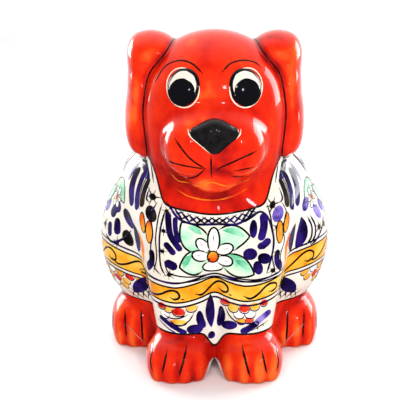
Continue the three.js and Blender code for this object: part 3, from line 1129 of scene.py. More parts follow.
@dataclass(frozen=True)
class EnamelGlaze:
    """One of the painter's colours, from deep pools to thin washes.

    Fields:
        lift: how far the colour lies over the ground glaze, in millimetres.
        cloud: the size of its clouds, in millimetres.
    """

    lift: float
    deep: Place
    full: Place
    thin: Place
    cloud: float = 8

    def material(self, name: str) -> bpy.types.Material:
        """Returns the colour as a material.

        Args:
            name: the material's name.
        """
        s = Shades(name)
        amount = s.sum((s.noise(self.cloud, 4), 1), (s.attribute("stroke_end"), 0.22))
        s.link(
            s.ramp(amount, (0.42, self.deep), (0.55, self.full), (0.78, self.thin)),
            s.shader.inputs["Base Color"],
        )
        s.link(s.ramp(s.noise(9, 2), (0.3, (0.14,) * 3), (0.7, (0.28,) * 3)), s.shader.inputs["Roughness"])
        s.bump(s.noise(6, 3), 0.02)
        s.glassy()
        return s.material


class Enamel(Enum):
    """The colours in the painter's box."""

    WHITE = EnamelGlaze(0.15, (0.86, 0.80, 0.70), (0.92, 0.88, 0.80), (0.95, 0.93, 0.88))
    CREAM = EnamelGlaze(0.10, (0.80, 0.66, 0.48), (0.88, 0.76, 0.60), (0.92, 0.84, 0.72))
    MINT = EnamelGlaze(0.07, (0.16, 0.50, 0.28), (0.40, 0.72, 0.50), (0.78, 0.84, 0.66), 11)
    GREEN = EnamelGlaze(0.10, (0.05, 0.34, 0.17), (0.13, 0.50, 0.28), (0.32, 0.66, 0.44))
    YELLOW = EnamelGlaze(0.08, (0.80, 0.24, 0.010), (0.88, 0.36, 0.016), (0.90, 0.52, 0.08), 12)
    ORANGE = EnamelGlaze(0.20, (0.72, 0.05, 0.006), (0.82, 0.16, 0.008), (0.88, 0.34, 0.03), 10)
    RED = EnamelGlaze(0.10, (0.40, 0.004, 0.004), (0.66, 0.016, 0.008), (0.80, 0.07, 0.02))
    COBALT = EnamelGlaze(0.12, (0.001, 0.0004, 0.007), (0.006, 0.0015, 0.045), (0.022, 0.007, 0.15), 9)
    VIOLET = EnamelGlaze(0.12, (0.03, 0.015, 0.16), (0.10, 0.06, 0.36), (0.32, 0.24, 0.62), 7)
    BLACK = EnamelGlaze(0.17, (0.002, 0.002, 0.002), (0.005, 0.004, 0.005), (0.030, 0.018, 0.014), 6)


class Chart(Enum):
    """How a flat drawing is wrapped on the hound: its two numbers are millimetres across and up."""

    FRONT = "pressed on from the front"
    BACK = "pressed on from behind"
    AROUND = "wrapped around the body, from the middle of the chest"


class Tip(Enum):
    """How the width of a brush stroke runs along it."""

    ROUND = "even, with round ends"
    OVAL = "an oval"
    DROP = "thin at the start and full at the end"
    LEAF = "pointed at both ends"
    EVEN = "even, cut square"

    def half_width(self, t: np.ndarray, length: float, width: float) -> np.ndarray:
        """Returns half the stroke's width at shares t of its length.

        Args:
            t: shares of the length, 0 to 1.
            length: the stroke's length.
            width: its greatest width.
        """
        half = width / 2
        if self is Tip.OVAL:
            shape = np.sqrt(np.maximum(1 - (2 * t - 1) ** 2, 0))
        elif self is Tip.LEAF:
            shape = np.sin(math.pi * np.clip(t, 0, 1)) ** 0.8
        elif self is Tip.DROP:
            shape = np.clip(t / 0.7, 0, 1) ** 0.6 * np.sqrt(
                np.maximum(1 - np.clip((t - 0.7) / 0.3, 0, 1) ** 2, 0)
            )
        elif self is Tip.ROUND:
            run = np.clip(np.minimum(t, 1 - t) * length / half, 0, 1)
            shape = np.sqrt(1 - (1 - run) ** 2)
        else:
            shape = np.ones_like(t)
        return half * np.maximum(shape, 0.03)


def curve_through(places: Places, closed: bool = False) -> Points:
    """Returns close points on a smooth curve through some places.

    Args:
        places: the places it runs through, flat or in space.
        closed: whether it comes back to its start.
    """
    p = np.asarray(places, float)
    before = p[-1:] if closed else 2 * p[:1] - p[1:2]
    after = p[:2] if closed else 2 * p[-1:] - p[-2:-1]
    p = np.concatenate([before, p, after])
    pieces = []
    for a, b, c, d in zip(p[:-3], p[1:-2], p[2:-1], p[3:]):
        count = max(2, int(np.linalg.norm(c - b) / 0.5))
        t = np.linspace(0, 1, count, endpoint=False)[:, None]
        pieces.append(b + 0.5 * t * (c - a + t * (2 * a - 5 * b + 4 * c - d + t * (3 * (b - c) + d - a))))
    pieces.append(p[-2:-1])
    return np.concatenate(pieces)


def spread_along(line: Points, shares: np.ndarray) -> Points:
    """Returns the points at given shares of a line's length."""
    run = np.concatenate([[0], np.cumsum(np.linalg.norm(np.diff(line, axis=0), axis=1))])
    return np.column_stack([np.interp(shares * run[-1], run, axis) for axis in line.T])


def length_of(line: Points) -> float:
    """Returns the length of a line."""
    return float(np.linalg.norm(np.diff(line, axis=0), axis=1).sum())


def sideways(line: Points) -> Points:
    """Returns the unit direction to the left of a flat line at each of its points."""
    along = np.gradient(line, axis=0)
    along /= np.maximum(np.linalg.norm(along, axis=1, keepdims=True), 1e-9)
    return np.column_stack([-along[:, 1], along[:, 0]])


def beside(places: Places, offset: float) -> Points:
    """Returns a line that runs beside a curve, this far to its left."""
    line = curve_through(places)
    line = spread_along(line, np.linspace(0, 1, max(4, int(length_of(line) / 5))))
    return line + offset * sideways(line)


def flat_stroke(places: Places, width: float, tip: Tip, grain: float) -> tuple[Points, np.ndarray]:
    """Shapes a stroke before it is wrapped on the skin.

    Args:
        places: the places its middle runs through.
        width: its greatest width.
        tip: how its width runs.
        grain: how far apart its points lie.

    Returns:
        Its points as rows across it, and how far along it each row lies, 0 to 1.
    """
    line = curve_through(places)
    length = length_of(line)
    share = np.linspace(0, 1, max(5, int(length / grain)) + 1)
    if tip is not Tip.EVEN:
        share = share - 0.8 * np.sin(2 * math.pi * share) / (2 * math.pi)
    middle = spread_along(line, share)
    half = tip.half_width(share, length, width)
    across = np.linspace(-1, 1, max(3, int(width / grain)) + 2)
    return middle[:, None] + (half[:, None] * across)[..., None] * sideways(middle)[:, None], share


def border_of(grid: Points) -> Points:
    """Returns the points around a flat stroke."""
    return np.concatenate([grid[:, 0], grid[::-1, -1]])


def is_within(points: Points, border: Points) -> np.ndarray:
    """Returns whether each flat point lies inside a closed border."""
    x, y = points[:, :1], points[:, 1:]
    a, b = border, np.roll(border, -1, axis=0)
    spans = (a[:, 1] > y) != (b[:, 1] > y)
    rise = np.where(b[:, 1] == a[:, 1], 1e-9, b[:, 1] - a[:, 1])
    return (spans & (x < a[:, 0] + (y - a[:, 1]) * (b[:, 0] - a[:, 0]) / rise)).sum(1) % 2 == 1


@dataclass
class Strokes:
    """The strokes of one colour, laid side by side in one mesh."""

    tops: list[Points] = field(default_factory=list)
    normals: list[Points] = field(default_factory=list)
    grids: list[tuple[int, int]] = field(default_factory=list)
    ends: list[np.ndarray] = field(default_factory=list)
    sunk: float = 0.35

    def mesh(self, name: str, lift: float) -> bpy.types.Mesh:
        """Returns closed thin slabs for the strokes, which shade like the skin below them.

        Args:
            name: the mesh's name.
            lift: how far their tops lie over the skin.
        """
        skin, normal = np.concatenate(self.tops), np.concatenate(self.normals)
        count = len(skin)
        tops, walls = [], []
        start = 0
        for rows, columns in self.grids:
            index = start + np.arange(rows * columns).reshape(rows, columns)
            quads = np.stack([index[:-1, :-1], index[1:, :-1], index[1:, 1:], index[:-1, 1:]], axis=-1)
            tops.append(quads.reshape(-1, 4))
            ring = np.concatenate([index[0, :-1], index[:-1, -1], index[-1, :0:-1], index[:0:-1, 0]])
            following = np.roll(ring, -1)
            walls.append(np.stack([ring, following, following + count, ring + count], axis=1))
            start += rows * columns
        top, wall = np.concatenate(tops), np.concatenate(walls)
        corner = skin[top]
        facing = np.cross(corner[:, 2] - corner[:, 0], corner[:, 3] - corner[:, 1])
        turned = (facing * normal[top[:, 0]]).sum(1) < 0
        if turned.mean() > 0.5:
            top, wall = top[:, ::-1], wall[:, ::-1]
        points = np.concatenate([skin + lift * normal, skin - self.sunk * normal])
        faces = np.concatenate([top, top[:, ::-1] + count, wall])
        mesh = make_mesh(name, points, faces)
        side = np.cross(points[wall[:, 2]] - points[wall[:, 0]], points[wall[:, 3]] - points[wall[:, 1]])
        side /= np.maximum(np.linalg.norm(side, axis=1, keepdims=True), 1e-9)
        corners = [
            normal[top].reshape(-1, 3), -normal[top[:, ::-1]].reshape(-1, 3), np.repeat(side, 4, axis=0)
        ]
        mesh.normals_split_custom_set(np.concatenate(corners))
        store(mesh, "stroke_end", np.tile(np.concatenate(self.ends), 2))
        return mesh


@dataclass
class Liners:
    """The thin lines of one colour: runs of points on the skin, with a width at each."""

    points: list[Points] = field(default_factory=list)
    normals: list[Points] = field(default_factory=list)
    widths: list[np.ndarray] = field(default_factory=list)
    closed: list[bool] = field(default_factory=list)

    def mesh(self, name: str) -> bpy.types.Mesh:
        """Returns the lines as a mesh of edges with their widths and the skin's directions."""
        mesh = bpy.data.meshes.new(name)
        edges = []
        start = 0
        for run, closed in zip(self.points, self.closed):
            last = len(run) - 1
            edges += [(start + i, start + i + 1) for i in range(last)]
            if closed:
                edges.append((start + last, start))
            start += len(run)
        mesh.from_pydata((np.concatenate(self.points) * MM).tolist(), edges, [])
        store(mesh, "skin_normal", np.concatenate(self.normals))
        store(mesh, "half_width", np.concatenate(self.widths) / 2 * MM)
        return mesh


class NodeTree:
    """A small helper that lays geometry nodes and their named inputs."""

    def __init__(self, name: str, sizes: dict[str, float]) -> None:
        """Makes the tree with a geometry and a material input, and a number input for each size."""
        self.tree = bpy.data.node_groups.new(name, "GeometryNodeTree")
        interface = self.tree.interface
        interface.new_socket("Geometry", in_out="INPUT", socket_type="NodeSocketGeometry")
        self.ids = {}
        for size, value in sizes.items():
            socket = interface.new_socket(size, in_out="INPUT", socket_type="NodeSocketFloat")
            socket.default_value = value
            self.ids[size] = socket.identifier
        finish = interface.new_socket("Finish", in_out="INPUT", socket_type="NodeSocketMaterial")
        self.ids["Finish"] = finish.identifier
        interface.new_socket("Geometry", in_out="OUTPUT", socket_type="NodeSocketGeometry")
        self.start = self.tree.nodes.new("NodeGroupInput")

    def add(self, kind: str, *links: tuple[str, bpy.types.NodeSocket], **settings: object) -> bpy.types.Node:
        """Adds a node, sets its settings, and links sockets into its named inputs."""
        node = self.tree.nodes.new(kind)
        for name, value in settings.items():
            setattr(node, name, value)
        for name, source in links:
            self.tree.links.new(source, node.inputs[name])
        return node

    def attribute(self, name: str, kind: str) -> bpy.types.NodeSocket:
        """Returns a named attribute of the mesh."""
        node = self.add("GeometryNodeInputNamedAttribute", data_type=kind)
        node.inputs["Name"].default_value = name
        return node.outputs["Attribute"]

    def close(self, geometry: bpy.types.NodeSocket) -> None:
        """Ends the tree by making instances real and setting the finish."""
        real = self.add("GeometryNodeRealizeInstances", ("Geometry", geometry))
        finish = ("Material", self.start.outputs["Finish"])
        done = self.add("GeometryNodeSetMaterial", ("Geometry", real.outputs["Geometry"]), finish)
        self.add("NodeGroupOutput", ("Geometry", done.outputs["Geometry"]))

    def applied(self, name: str, mesh: bpy.types.Mesh, finish: bpy.types.Material) -> bpy.types.Object:
        """Returns a piece with the tree's result on a mesh as its plain mesh."""
        source = bpy.data.objects.new(name, mesh)
        bpy.context.scene.collection.objects.link(source)
        modifier = source.modifiers.new("nodes", "NODES")
        modifier.node_group = self.tree
        modifier[self.ids["Finish"]] = finish
        result = bpy.data.meshes.new_from_object(source.evaluated_get(bpy.context.evaluated_depsgraph_get()))
        source.modifiers.remove(modifier)
        bpy.data.objects.remove(source)
        result.name = name
        return show(name, result)


def liner_tree() -> NodeTree:
    """Returns geometry nodes that draw raised enamel lines along the edges of a mesh."""
    tree = NodeTree("liner", {"Thickness": 0.25, "Lift": 0.12 * MM})
    facing = tree.attribute("skin_normal", "FLOAT_VECTOR")
    rise = tree.add("ShaderNodeVectorMath", operation="SCALE")
    tree.tree.links.new(facing, rise.inputs[0])
    tree.tree.links.new(tree.start.outputs["Lift"], rise.inputs["Scale"])
    lifted = tree.add(
        "GeometryNodeSetPosition",
        ("Geometry", tree.start.outputs["Geometry"]),
        ("Offset", rise.outputs["Vector"]),
    )
    curve = tree.add("GeometryNodeMeshToCurve", ("Mesh", lifted.outputs["Geometry"]))
    turned = tree.add("GeometryNodeSetCurveNormal", ("Curve", curve.outputs["Curve"]), mode="FREE")
    tree.tree.links.new(facing, turned.inputs["Normal"])
    profile = tree.add("GeometryNodeCurvePrimitiveCircle")
    profile.inputs["Resolution"].default_value = 8
    profile.inputs["Radius"].default_value = 1
    flat = tree.add("ShaderNodeCombineXYZ", ("X", tree.start.outputs["Thickness"]))
    flat.inputs["Y"].default_value = 1
    flat.inputs["Z"].default_value = 1
    squeezed = tree.add("GeometryNodeTransform", ("Geometry", profile.outputs["Curve"]))
    tree.tree.links.new(flat.outputs["Vector"], squeezed.inputs["Scale"])
    drawn = tree.add(
        "GeometryNodeCurveToMesh",
        ("Curve", turned.outputs["Curve"]),
        ("Profile Curve", squeezed.outputs["Geometry"]),
        ("Scale", tree.attribute("half_width", "FLOAT")),
    )
    drawn.inputs["Fill Caps"].default_value = True
    smooth = tree.add("GeometryNodeSetShadeSmooth", ("Geometry", drawn.outputs["Mesh"]))
    tree.close(smooth.outputs["Geometry"])
    return tree


def dot_tree() -> NodeTree:
    """Returns geometry nodes that set a low round bead of enamel on each point of a mesh."""
    tree = NodeTree("bead", {"Flatness": 0.25})
    bead = tree.add("GeometryNodeMeshUVSphere")
    bead.inputs["Segments"].default_value = 10
    bead.inputs["Rings"].default_value = 6
    bead.inputs["Radius"].default_value = 1
    size = tree.add("ShaderNodeCombineXYZ", ("Z", tree.start.outputs["Flatness"]))
    size.inputs["X"].default_value = 1
    size.inputs["Y"].default_value = 1
    squeezed = tree.add("GeometryNodeTransform", ("Geometry", bead.outputs["Mesh"]))
    tree.tree.links.new(size.outputs["Vector"], squeezed.inputs["Scale"])
    turned = tree.add("FunctionNodeAlignRotationToVector", axis="Z")
    tree.tree.links.new(tree.attribute("skin_normal", "FLOAT_VECTOR"), turned.inputs["Vector"])
    placed = tree.add(
        "GeometryNodeInstanceOnPoints",
        ("Points", tree.start.outputs["Geometry"]),
        ("Instance", squeezed.outputs["Geometry"]),
        ("Rotation", turned.outputs["Rotation"]),
        ("Scale", tree.attribute("half_width", "FLOAT")),
    )
    smooth = tree.add("GeometryNodeSetShadeSmooth", ("Geometry", placed.outputs["Instances"]))
    tree.close(smooth.outputs["Geometry"])
    return tree


class Painter:
    """Lays brush strokes, thin lines and beads of enamel on the hound's skin."""

    def __init__(self, forms: HoundForms, skin: Skin) -> None:
        """Keeps the skin to paint on."""
        self.form = forms.figure
        self.middle_y = forms.size.body_middle_y
        self.skin = skin
        self.tree = BVHTree.FromPolygons(skin.points.tolist(), skin.faces.tolist())
        self.wrap_radius = 70
        self.strokes: dict[Enamel, Strokes] = {}
        self.liners: dict[Enamel, Liners] = {}
        self.beads: dict[Enamel, Liners] = {}
        self.covers: list[Points] = []

    def laid(self, chart: Chart, flat: Points) -> tuple[Points, Points]:
        """Wraps flat places on the skin.

        Args:
            chart: how they are wrapped.
            flat: places in millimetres across and up.

        Returns:
            The points on the skin and its outward directions there.
        """
        angle = flat[:, 0] / self.wrap_radius if chart is Chart.AROUND else np.zeros(len(flat))
        turned = -1 if chart is Chart.BACK else 1
        from_front = np.column_stack([np.sin(angle), -turned * np.cos(angle), np.zeros(len(flat))])
        middle = np.column_stack([np.zeros(len(flat)), np.full(len(flat), self.middle_y), flat[:, 1]])
        if chart is not Chart.AROUND:
            middle[:, 0] = turned * flat[:, 0]
        hits = [self._hit(m, d) for m, d in zip(middle, from_front)]
        points = np.array(hits)
        return points, outward(self.form, points)

    def _hit(self, middle: np.ndarray, direction: np.ndarray) -> tuple[float, ...]:
        """Returns where a ray from outside towards a middle point meets the skin."""
        place = self.tree.ray_cast(Vector(middle + 150 * direction), Vector(-direction), 150)[0]
        if place is None:
            place = self.tree.find_nearest(Vector(middle + 40 * direction))[0]
        return tuple(place)

    def stroke(
        self,
        enamel: Enamel,
        chart: Chart,
        places: Places,
        width: float,
        tip: Tip = Tip.ROUND,
        outline: float = 0,
        grain: float = 1.25,
    ) -> None:
        """Paints one fat stroke, with a black outline where one is given.

        Args:
            enamel: its colour.
            chart: how it is wrapped.
            places: the places its middle runs through.
            width: its greatest width.
            tip: how its width runs.
            outline: the outline's width, or 0.
            grain: how far apart its points lie.
        """
        grid, share = flat_stroke(places, width, tip, grain)
        rows, columns = grid.shape[:2]
        points, normals = self.laid(chart, grid.reshape(-1, 2))
        strokes = self.strokes.setdefault(enamel, Strokes())
        strokes.tops.append(points)
        strokes.normals.append(normals)
        strokes.grids.append((rows, columns))
        strokes.ends.append(np.repeat(share, columns))
        if outline:
            self.liner(Enamel.BLACK, chart, border_of(grid), outline, closed=True, smooth=False)

    def oval(self, enamel: Enamel, chart: Chart, at: Place, size: Place, turn: float = 0) -> None:
        """Paints a filled oval.

        Args:
            enamel: its colour.
            chart: how it is wrapped.
            at: its middle.
            size: its length and width.
            turn: how far its length is turned from level, in degrees.
        """
        reach = size[0] / 2 * np.array([math.cos(math.radians(turn)), math.sin(math.radians(turn))])
        self.stroke(enamel, chart, [np.subtract(at, reach), np.add(at, reach)], size[1], Tip.OVAL)

    def liner(
        self,
        enamel: Enamel,
        chart: Chart,
        places: Places,
        width: float = 1.2,
        closed: bool = False,
        smooth: bool = True,
    ) -> None:
        """Draws a thin line through some places.

        Args:
            enamel: its colour.
            chart: how it is wrapped.
            places: the places it runs through.
            width: its width.
            closed: whether it comes back to its start.
            smooth: whether it is curved between the places.
        """
        line = curve_through(places, closed) if smooth else np.asarray(places, float)
        line = spread_along(
            line, np.linspace(0, 1, max(3, int(length_of(line) / 1.1) + 1), endpoint=not closed)
        )
        hidden = np.zeros(len(line), bool)
        for cover in self.covers:
            hidden |= is_within(line, cover)
        points, _ = self.laid(chart, line)
        if not hidden.any():
            self.liner_on_skin(enamel, points, width, closed)
            return
        first = int(np.argmax(hidden)) if closed else 0
        points, hidden = np.roll(points, -first, axis=0), np.roll(hidden, -first)
        for run in np.split(np.arange(len(points)), np.flatnonzero(np.diff(hidden)) + 1):
            if not hidden[run[0]] and len(run) > 2:
                self.liner_on_skin(enamel, points[run], width, False)

    def liner_on_skin(self, enamel: Enamel, points: Points, width: float, closed: bool) -> None:
        """Draws a thin line through points that lie on the skin.

        Args:
            enamel: its colour.
            points: the points.
            width: its width.
            closed: whether it comes back to its start.
        """
        share = np.linspace(0, 1, len(points))
        swell = 1 if closed else np.clip(np.minimum(share, 1 - share) * len(points) / 3, 0.35, 1)
        liners = self.liners.setdefault(enamel, Liners())
        liners.points.append(points)
        liners.normals.append(outward(self.form, points))
        liners.widths.append(width * swell * np.ones(len(points)))
        liners.closed.append(closed)

    def bead(self, enamel: Enamel, chart: Chart, places: Places, width: float) -> None:
        """Sets a round bead of enamel on each place."""
        points, normals = self.laid(chart, np.asarray(places, float))
        beads = self.beads.setdefault(enamel, Liners())
        beads.points.append(points)
        beads.normals.append(normals)
        beads.widths.append(np.full(len(points), width))
        beads.closed.append(False)

    def star(self, chart: Chart, at: Place, size: float, turn: float = 20, spikes: int = 6) -> None:
        """Paints a black dot with thin spikes.

        Args:
            chart: how it is wrapped.
            at: its middle.
            size: how wide it is from tip to tip.
            turn: how far its spikes are turned, in degrees.
            spikes: how many it has.
        """
        self.oval(Enamel.BLACK, chart, at, (size * 0.42, size * 0.36), turn)
        for i in range(spikes):
            angle = math.radians(turn + 360 * i / spikes)
            reach = size / 2 * (1 if i % 2 else 0.78) * np.array([math.cos(angle), math.sin(angle)])
            self.liner(Enamel.BLACK, chart, [at, np.add(at, reach)], size * 0.11)

    def along(self, places: Places, drawing: Places, at: float) -> Points:
        """Returns a small drawing moved and turned onto a curve.

        Args:
            places: the places that the curve runs through.
            drawing: the drawing's places, along the curve and to its left.
            at: where its middle sits, in millimetres along the curve.
        """
        line = curve_through(places)
        length = length_of(line)
        drawing = np.asarray(drawing, float)
        middle = spread_along(line, (at + drawing[:, 0]) / length)
        close = spread_along(line, (at + drawing[:, 0] + 0.5) / length)
        close = np.where(
            np.linalg.norm(close - middle, axis=1, keepdims=True) < 1e-6, middle + [0.5, 0], close
        )
        ahead = (close - middle) / np.linalg.norm(close - middle, axis=1, keepdims=True)
        left = np.column_stack([-ahead[:, 1], ahead[:, 0]])
        return middle + drawing[:, 1:] * left

    def finish(self) -> None:
        """Turns all that was painted into pieces, one for each colour and kind of mark."""
        finishes = {enamel: enamel.value.material(f"enamel_{enamel.name.lower()}") for enamel in Enamel}
        for enamel, strokes in self.strokes.items():
            name = f"painted_{enamel.name.lower()}"
            obj = show(name, strokes.mesh(name, enamel.value.lift))
            obj.data.materials.append(finishes[enamel])
            stand_in(obj, "bank", "painted_glaze")
        for tree, marks, word in ((liner_tree(), self.liners, "lines"), (dot_tree(), self.beads, "beads")):
            for enamel, marked in marks.items():
                name = f"{enamel.name.lower()}_{word}"
                obj = tree.applied(name, marked.mesh(name), finishes[enamel])
                stand_in(obj, "bank", "painted_glaze")


# ---- The painter's drawing ----


@dataclass
class ChestPanel:
    """A white flower on four mint leaves, between cobalt petals, on the chest."""

    painter: Painter
    flower: Place = (-1, 78)
    line: float = 1.3
    petals: Sequence[Places] = (
        ((-3.5, 3.5), (-9.5, 13), (7, 0)),
        ((-3, -1), (-13, 2.5), (7.5, 0)),
        ((-6.5, -7.5), (6.5, -7.5), (7, 0)),
        ((2.5, 3), (12.5, 8), (8, 0)),
        ((2.5, -2.5), (12.5, -3.5), (7.5, 0)),
        ((0.3, 3), (0.6, 21), (7.5, 0)),
    )

    def paint(self) -> None:
        """Paints leaves, flower, cobalt petals and frame."""
        self._leaves()
        self._flower()
        self._left_petals()
        self._right_petals()
        self._frame()

    def _leaves(self) -> None:
        """Paints the four leaves with their darker washes."""
        p, front = self.painter, Chart.FRONT
        leaves = (
            (((-4, 80), (-12, 90), (-20.5, 101.5)), 17, ((-8, 94), (-13, 98), (-17, 98.5))),
            (((-3, 77), (-12, 74.5), (-22, 72)), 16, ((-14, 79.5), (-18, 76), (-19.5, 71))),
            (((0, 81), (9, 91), (22, 92.5)), 18, ((5, 97), (11, 96.5), (19, 92.5))),
            (((1, 76), (12, 73.5), (25, 67.5)), 14, ((13, 76), (19, 73.5), (22.5, 69.5))),
        )
        p.covers = [self._petal(i) for i in range(len(self.petals))]
        for spine, width, wash in leaves:
            p.stroke(Enamel.MINT, front, spine, width, Tip.LEAF, self.line)
            p.stroke(Enamel.GREEN, front, wash, 4.5, Tip.LEAF)

    def _petal(self, number: int) -> Points:
        """Returns the border of one petal."""
        start, end, (width, _) = self.petals[number]
        return border_of(
            flat_stroke([np.add(start, self.flower), np.add(end, self.flower)], width, Tip.OVAL, 1)[0]
        )

    def _flower(self) -> None:
        """Paints the petals with a dash on each, and the yellow eye."""
        p, front = self.painter, Chart.FRONT
        x, z = self.flower
        eye = [(x - 0.2, z - 4.6), (x + 0.2, z + 4.2)]
        eye_border = border_of(flat_stroke(eye, 7, Tip.OVAL, 1)[0])
        for i, (start, end, (width, _)) in enumerate(self.petals):
            a, b = np.add(start, (x, z)), np.add(end, (x, z))
            p.covers = [self._petal(j) for j in range(i + 1, len(self.petals))] + [eye_border]
            p.stroke(Enamel.WHITE, front, [a, b], width, Tip.OVAL, self.line)
            p.liner(Enamel.BLACK, front, [a + 0.45 * (b - a), a + 0.75 * (b - a)], 1.0)
        p.covers = []
        p.stroke(Enamel.ORANGE, front, eye, 7, Tip.OVAL, self.line)

    def _left_petals(self) -> None:
        """Paints the cobalt petals on the hound's right."""
        for places, width in (
            ([(-24.6, 104.5), (-24.4, 96), (-22.2, 88)], 3.2),
            ([(-29, 107), (-28.8, 100), (-27.4, 92), (-21, 82.5)], 4),
            ([(-31.5, 87.5), (-25, 80)], 4),
            ([(-31.5, 75), (-23.5, 71.5)], 5.6),
        ):
            self.painter.stroke(Enamel.COBALT, Chart.FRONT, places, width)

    def _right_petals(self) -> None:
        """Paints the cobalt petals on the hound's left."""
        p, front = self.painter, Chart.FRONT
        p.stroke(Enamel.COBALT, front, [(24.5, 103), (24.3, 91)], 5, Tip.OVAL)
        p.stroke(Enamel.COBALT, front, [(30.5, 106.5), (31, 98), (29, 89)], 5, Tip.ROUND)
        p.stroke(Enamel.COBALT, front, [(27, 86), (30.5, 85.5), (35, 89.5)], 5, Tip.ROUND)
        p.oval(Enamel.COBALT, front, (22.5, 80.5), (9, 8), 0)
        p.oval(Enamel.COBALT, front, (31.5, 77), (9, 7), -25)
        p.oval(Enamel.COBALT, front, (27.5, 71.5), (9, 6.2), -75)

    def _frame(self) -> None:
        """Draws the cobalt frame and the stars outside it."""
        p, front = self.painter, Chart.FRONT
        right = [
            (16.5, 101), (23, 104.5), (28.5, 107.5), (33.5, 103.5), (36.5, 94), (37.5, 86), (36, 77),
            (33, 67),
        ]
        left = [(-31, 108), (-34, 96), (-34.8, 84), (-34, 72), (-31, 66)]
        foot = [
            (-32, 76), (-29, 68.5), (-20, 66), (-6, 65), (4, 65), (15, 64.5), (25, 64), (34, 64.5), (43, 65)
        ]
        below = [(-45, 64), (-38, 62.5), (-26.5, 62), (-7, 63), (4, 63.2), (15, 62.8), (30, 62.6), (42, 63.5)]
        far_right = [(42, 112), (45.5, 104), (43, 95), (44.5, 86), (42, 76), (43.5, 66)]
        far_left = [(-36, 112), (-40, 104), (-39, 92), (-40.5, 82), (-38, 70), (-34, 66)]
        for line, width in (
            (right, 1.5), (left, 1.3), (foot, 0.9), (below, 0.9), (far_right, 0.9), (far_left, 1.2),
        ):
            p.liner(Enamel.COBALT, front, line, width)
        for at, size in (((36.5, 110.5), 11), ((40, 96), 9), ((40, 78.5), 8), ((37, 68), 8)):
            p.star(front, at, size, 15 + 7 * at[1])
        for at, size in (
            ((-39, 114.5), 11), ((-29.8, 107.5), 7), ((-32, 95), 7), ((-33, 81.5), 7), ((-28.5, 67), 8)
        ):
            p.star(front, at, size, 5 + 11 * at[1])


@dataclass
class Collar:
    """The lattice band under the collar."""

    painter: Painter
    upper: Places = ((-30, 113), (-22, 109), (-12, 106.2), (-2, 105.6), (9.5, 106), (19.5, 108.4), (27, 112))
    lower: Places = (
        (-28, 110), (-22, 103.5), (-14, 100.8), (-7, 100.8), (3.5, 101.2), (13, 100.6), (20, 103.4),
        (26, 107.5),
    )
    crossings: int = 12

    def paint(self) -> None:
        """Draws the lower edge and the crossed lines."""
        p, front = self.painter, Chart.FRONT
        p.liner(Enamel.COBALT, front, self.lower, 1.6)
        upper, lower = curve_through(self.upper), curve_through(self.lower)
        for i in range(self.crossings):
            share = np.array([i, i + 1.5]) / (self.crossings + 0.5)
            for a, b in (share, share[::-1]):
                ends = [spread_along(upper, np.array([a]))[0], spread_along(lower, np.array([b]))[0]]
                p.liner(Enamel.COBALT, front, ends, 1.4)


@dataclass
class Belt:
    """The yellow belt with black scrolls, and the lines and scales below it."""

    painter: Painter
    width: float = 9.6
    scroll_every: float = 25
    scroll: Places = (
        (-12, -1.5), (-8, -3.2), (-3, -1.2), (2, 2.2), (6, 3), (9, 1.2), (9, -1.6), (6, -2.6), (3.5, -1.4),
    )

    def paint(self) -> None:
        """Paints the belt across the forelegs, and around the haunches and the back."""
        chest = [
            (-47, 53), (-41, 54.6), (-33, 54.2), (-24, 54), (-14, 55.6), (-4, 57.2), (2, 57.4), (10, 56.4),
            (20, 55.2), (31, 56.2), (40, 57.6), (46, 58),
        ]
        self._run(Chart.FRONT, chest, self.width, (-30, 34))
        around = [
            (70, 64), (80, 65.5), (95, 67.5), (110, 68), (130, 66), (160, 63.5), (190, 62.5), (220, 62.5)
        ]
        self._run(Chart.AROUND, around, 13, ())
        self._run(Chart.AROUND, [(-u, z - 3.5 * max(0, (150 - u) / 90)) for u, z in around[::-1]], 13, ())

    def _run(self, chart: Chart, places: Places, width: float, gap: Place) -> None:
        """Paints one run of the belt.

        Args:
            chart: how it is wrapped.
            places: the places its middle runs through.
            width: its width.
            gap: from where to where no scales hang, across the chest, or nothing.
        """
        p = self.painter
        p.stroke(Enamel.YELLOW, chart, places, width, Tip.EVEN)
        for side in (1, -1):
            p.liner(Enamel.BLACK, chart, beside(places, side * width / 2), 1.1)
            p.liner(Enamel.COBALT, chart, beside(places, side * (width / 2 + 2.8)), 1.2)
        length = length_of(curve_through(places))
        count = int(length / self.scroll_every)
        scale = width / self.width
        for i in range(count):
            at = (i + 0.5) * length / count
            turn = np.array([scale, scale])
            p.liner(Enamel.BLACK, chart, p.along(places, np.multiply(self.scroll, turn), at), 1.5)
            dash = np.multiply([(1, -2.4), (3, -3.2)], turn)
            p.liner(Enamel.BLACK, chart, p.along(places, dash, at + 9), 1.5)
        if not gap:
            self._scales(
                chart, beside(places, -width / 2 - 2.8),
                (Enamel.YELLOW, Enamel.RED, Enamel.YELLOW, Enamel.WHITE), 7.6, 3,
            )

    def _scales(
        self, chart: Chart, edge: Places, colours: Sequence[Enamel], size: float, rows: int
    ) -> None:
        """Hangs rows of scales from an edge.

        Args:
            chart: how they are wrapped.
            edge: the places that the edge runs through.
            colours: their colours in turn.
            size: how wide each one is.
            rows: how many rows hang below each other.
        """
        p = self.painter
        length = length_of(curve_through(edge))
        count = int(length / size)
        for row in range(rows):
            for i in range(count - row % 2):
                at = (i + 0.5 + 0.5 * (row % 2)) * size
                colour = colours[(i + 2 * row) % len(colours)]
                drop = -(row + 0.42) * size * 0.62
                ends = p.along(edge, [(-size * 0.40, drop), (size * 0.40, drop)], at)
                if abs(ends[0][0]) < 82 + 7 * row:
                    continue
                p.stroke(colour, chart, ends, size * 0.62, Tip.OVAL, 0, 1.6)
                arc = [
                    (-size * 0.5, drop + 1.6), (-size * 0.34, drop - 1.2), (0, drop - 2.7),
                    (size * 0.34, drop - 1.2), (size * 0.5, drop + 1.6),
                ]
                p.liner(Enamel.COBALT, chart, p.along(edge, arc, at), 0.75)


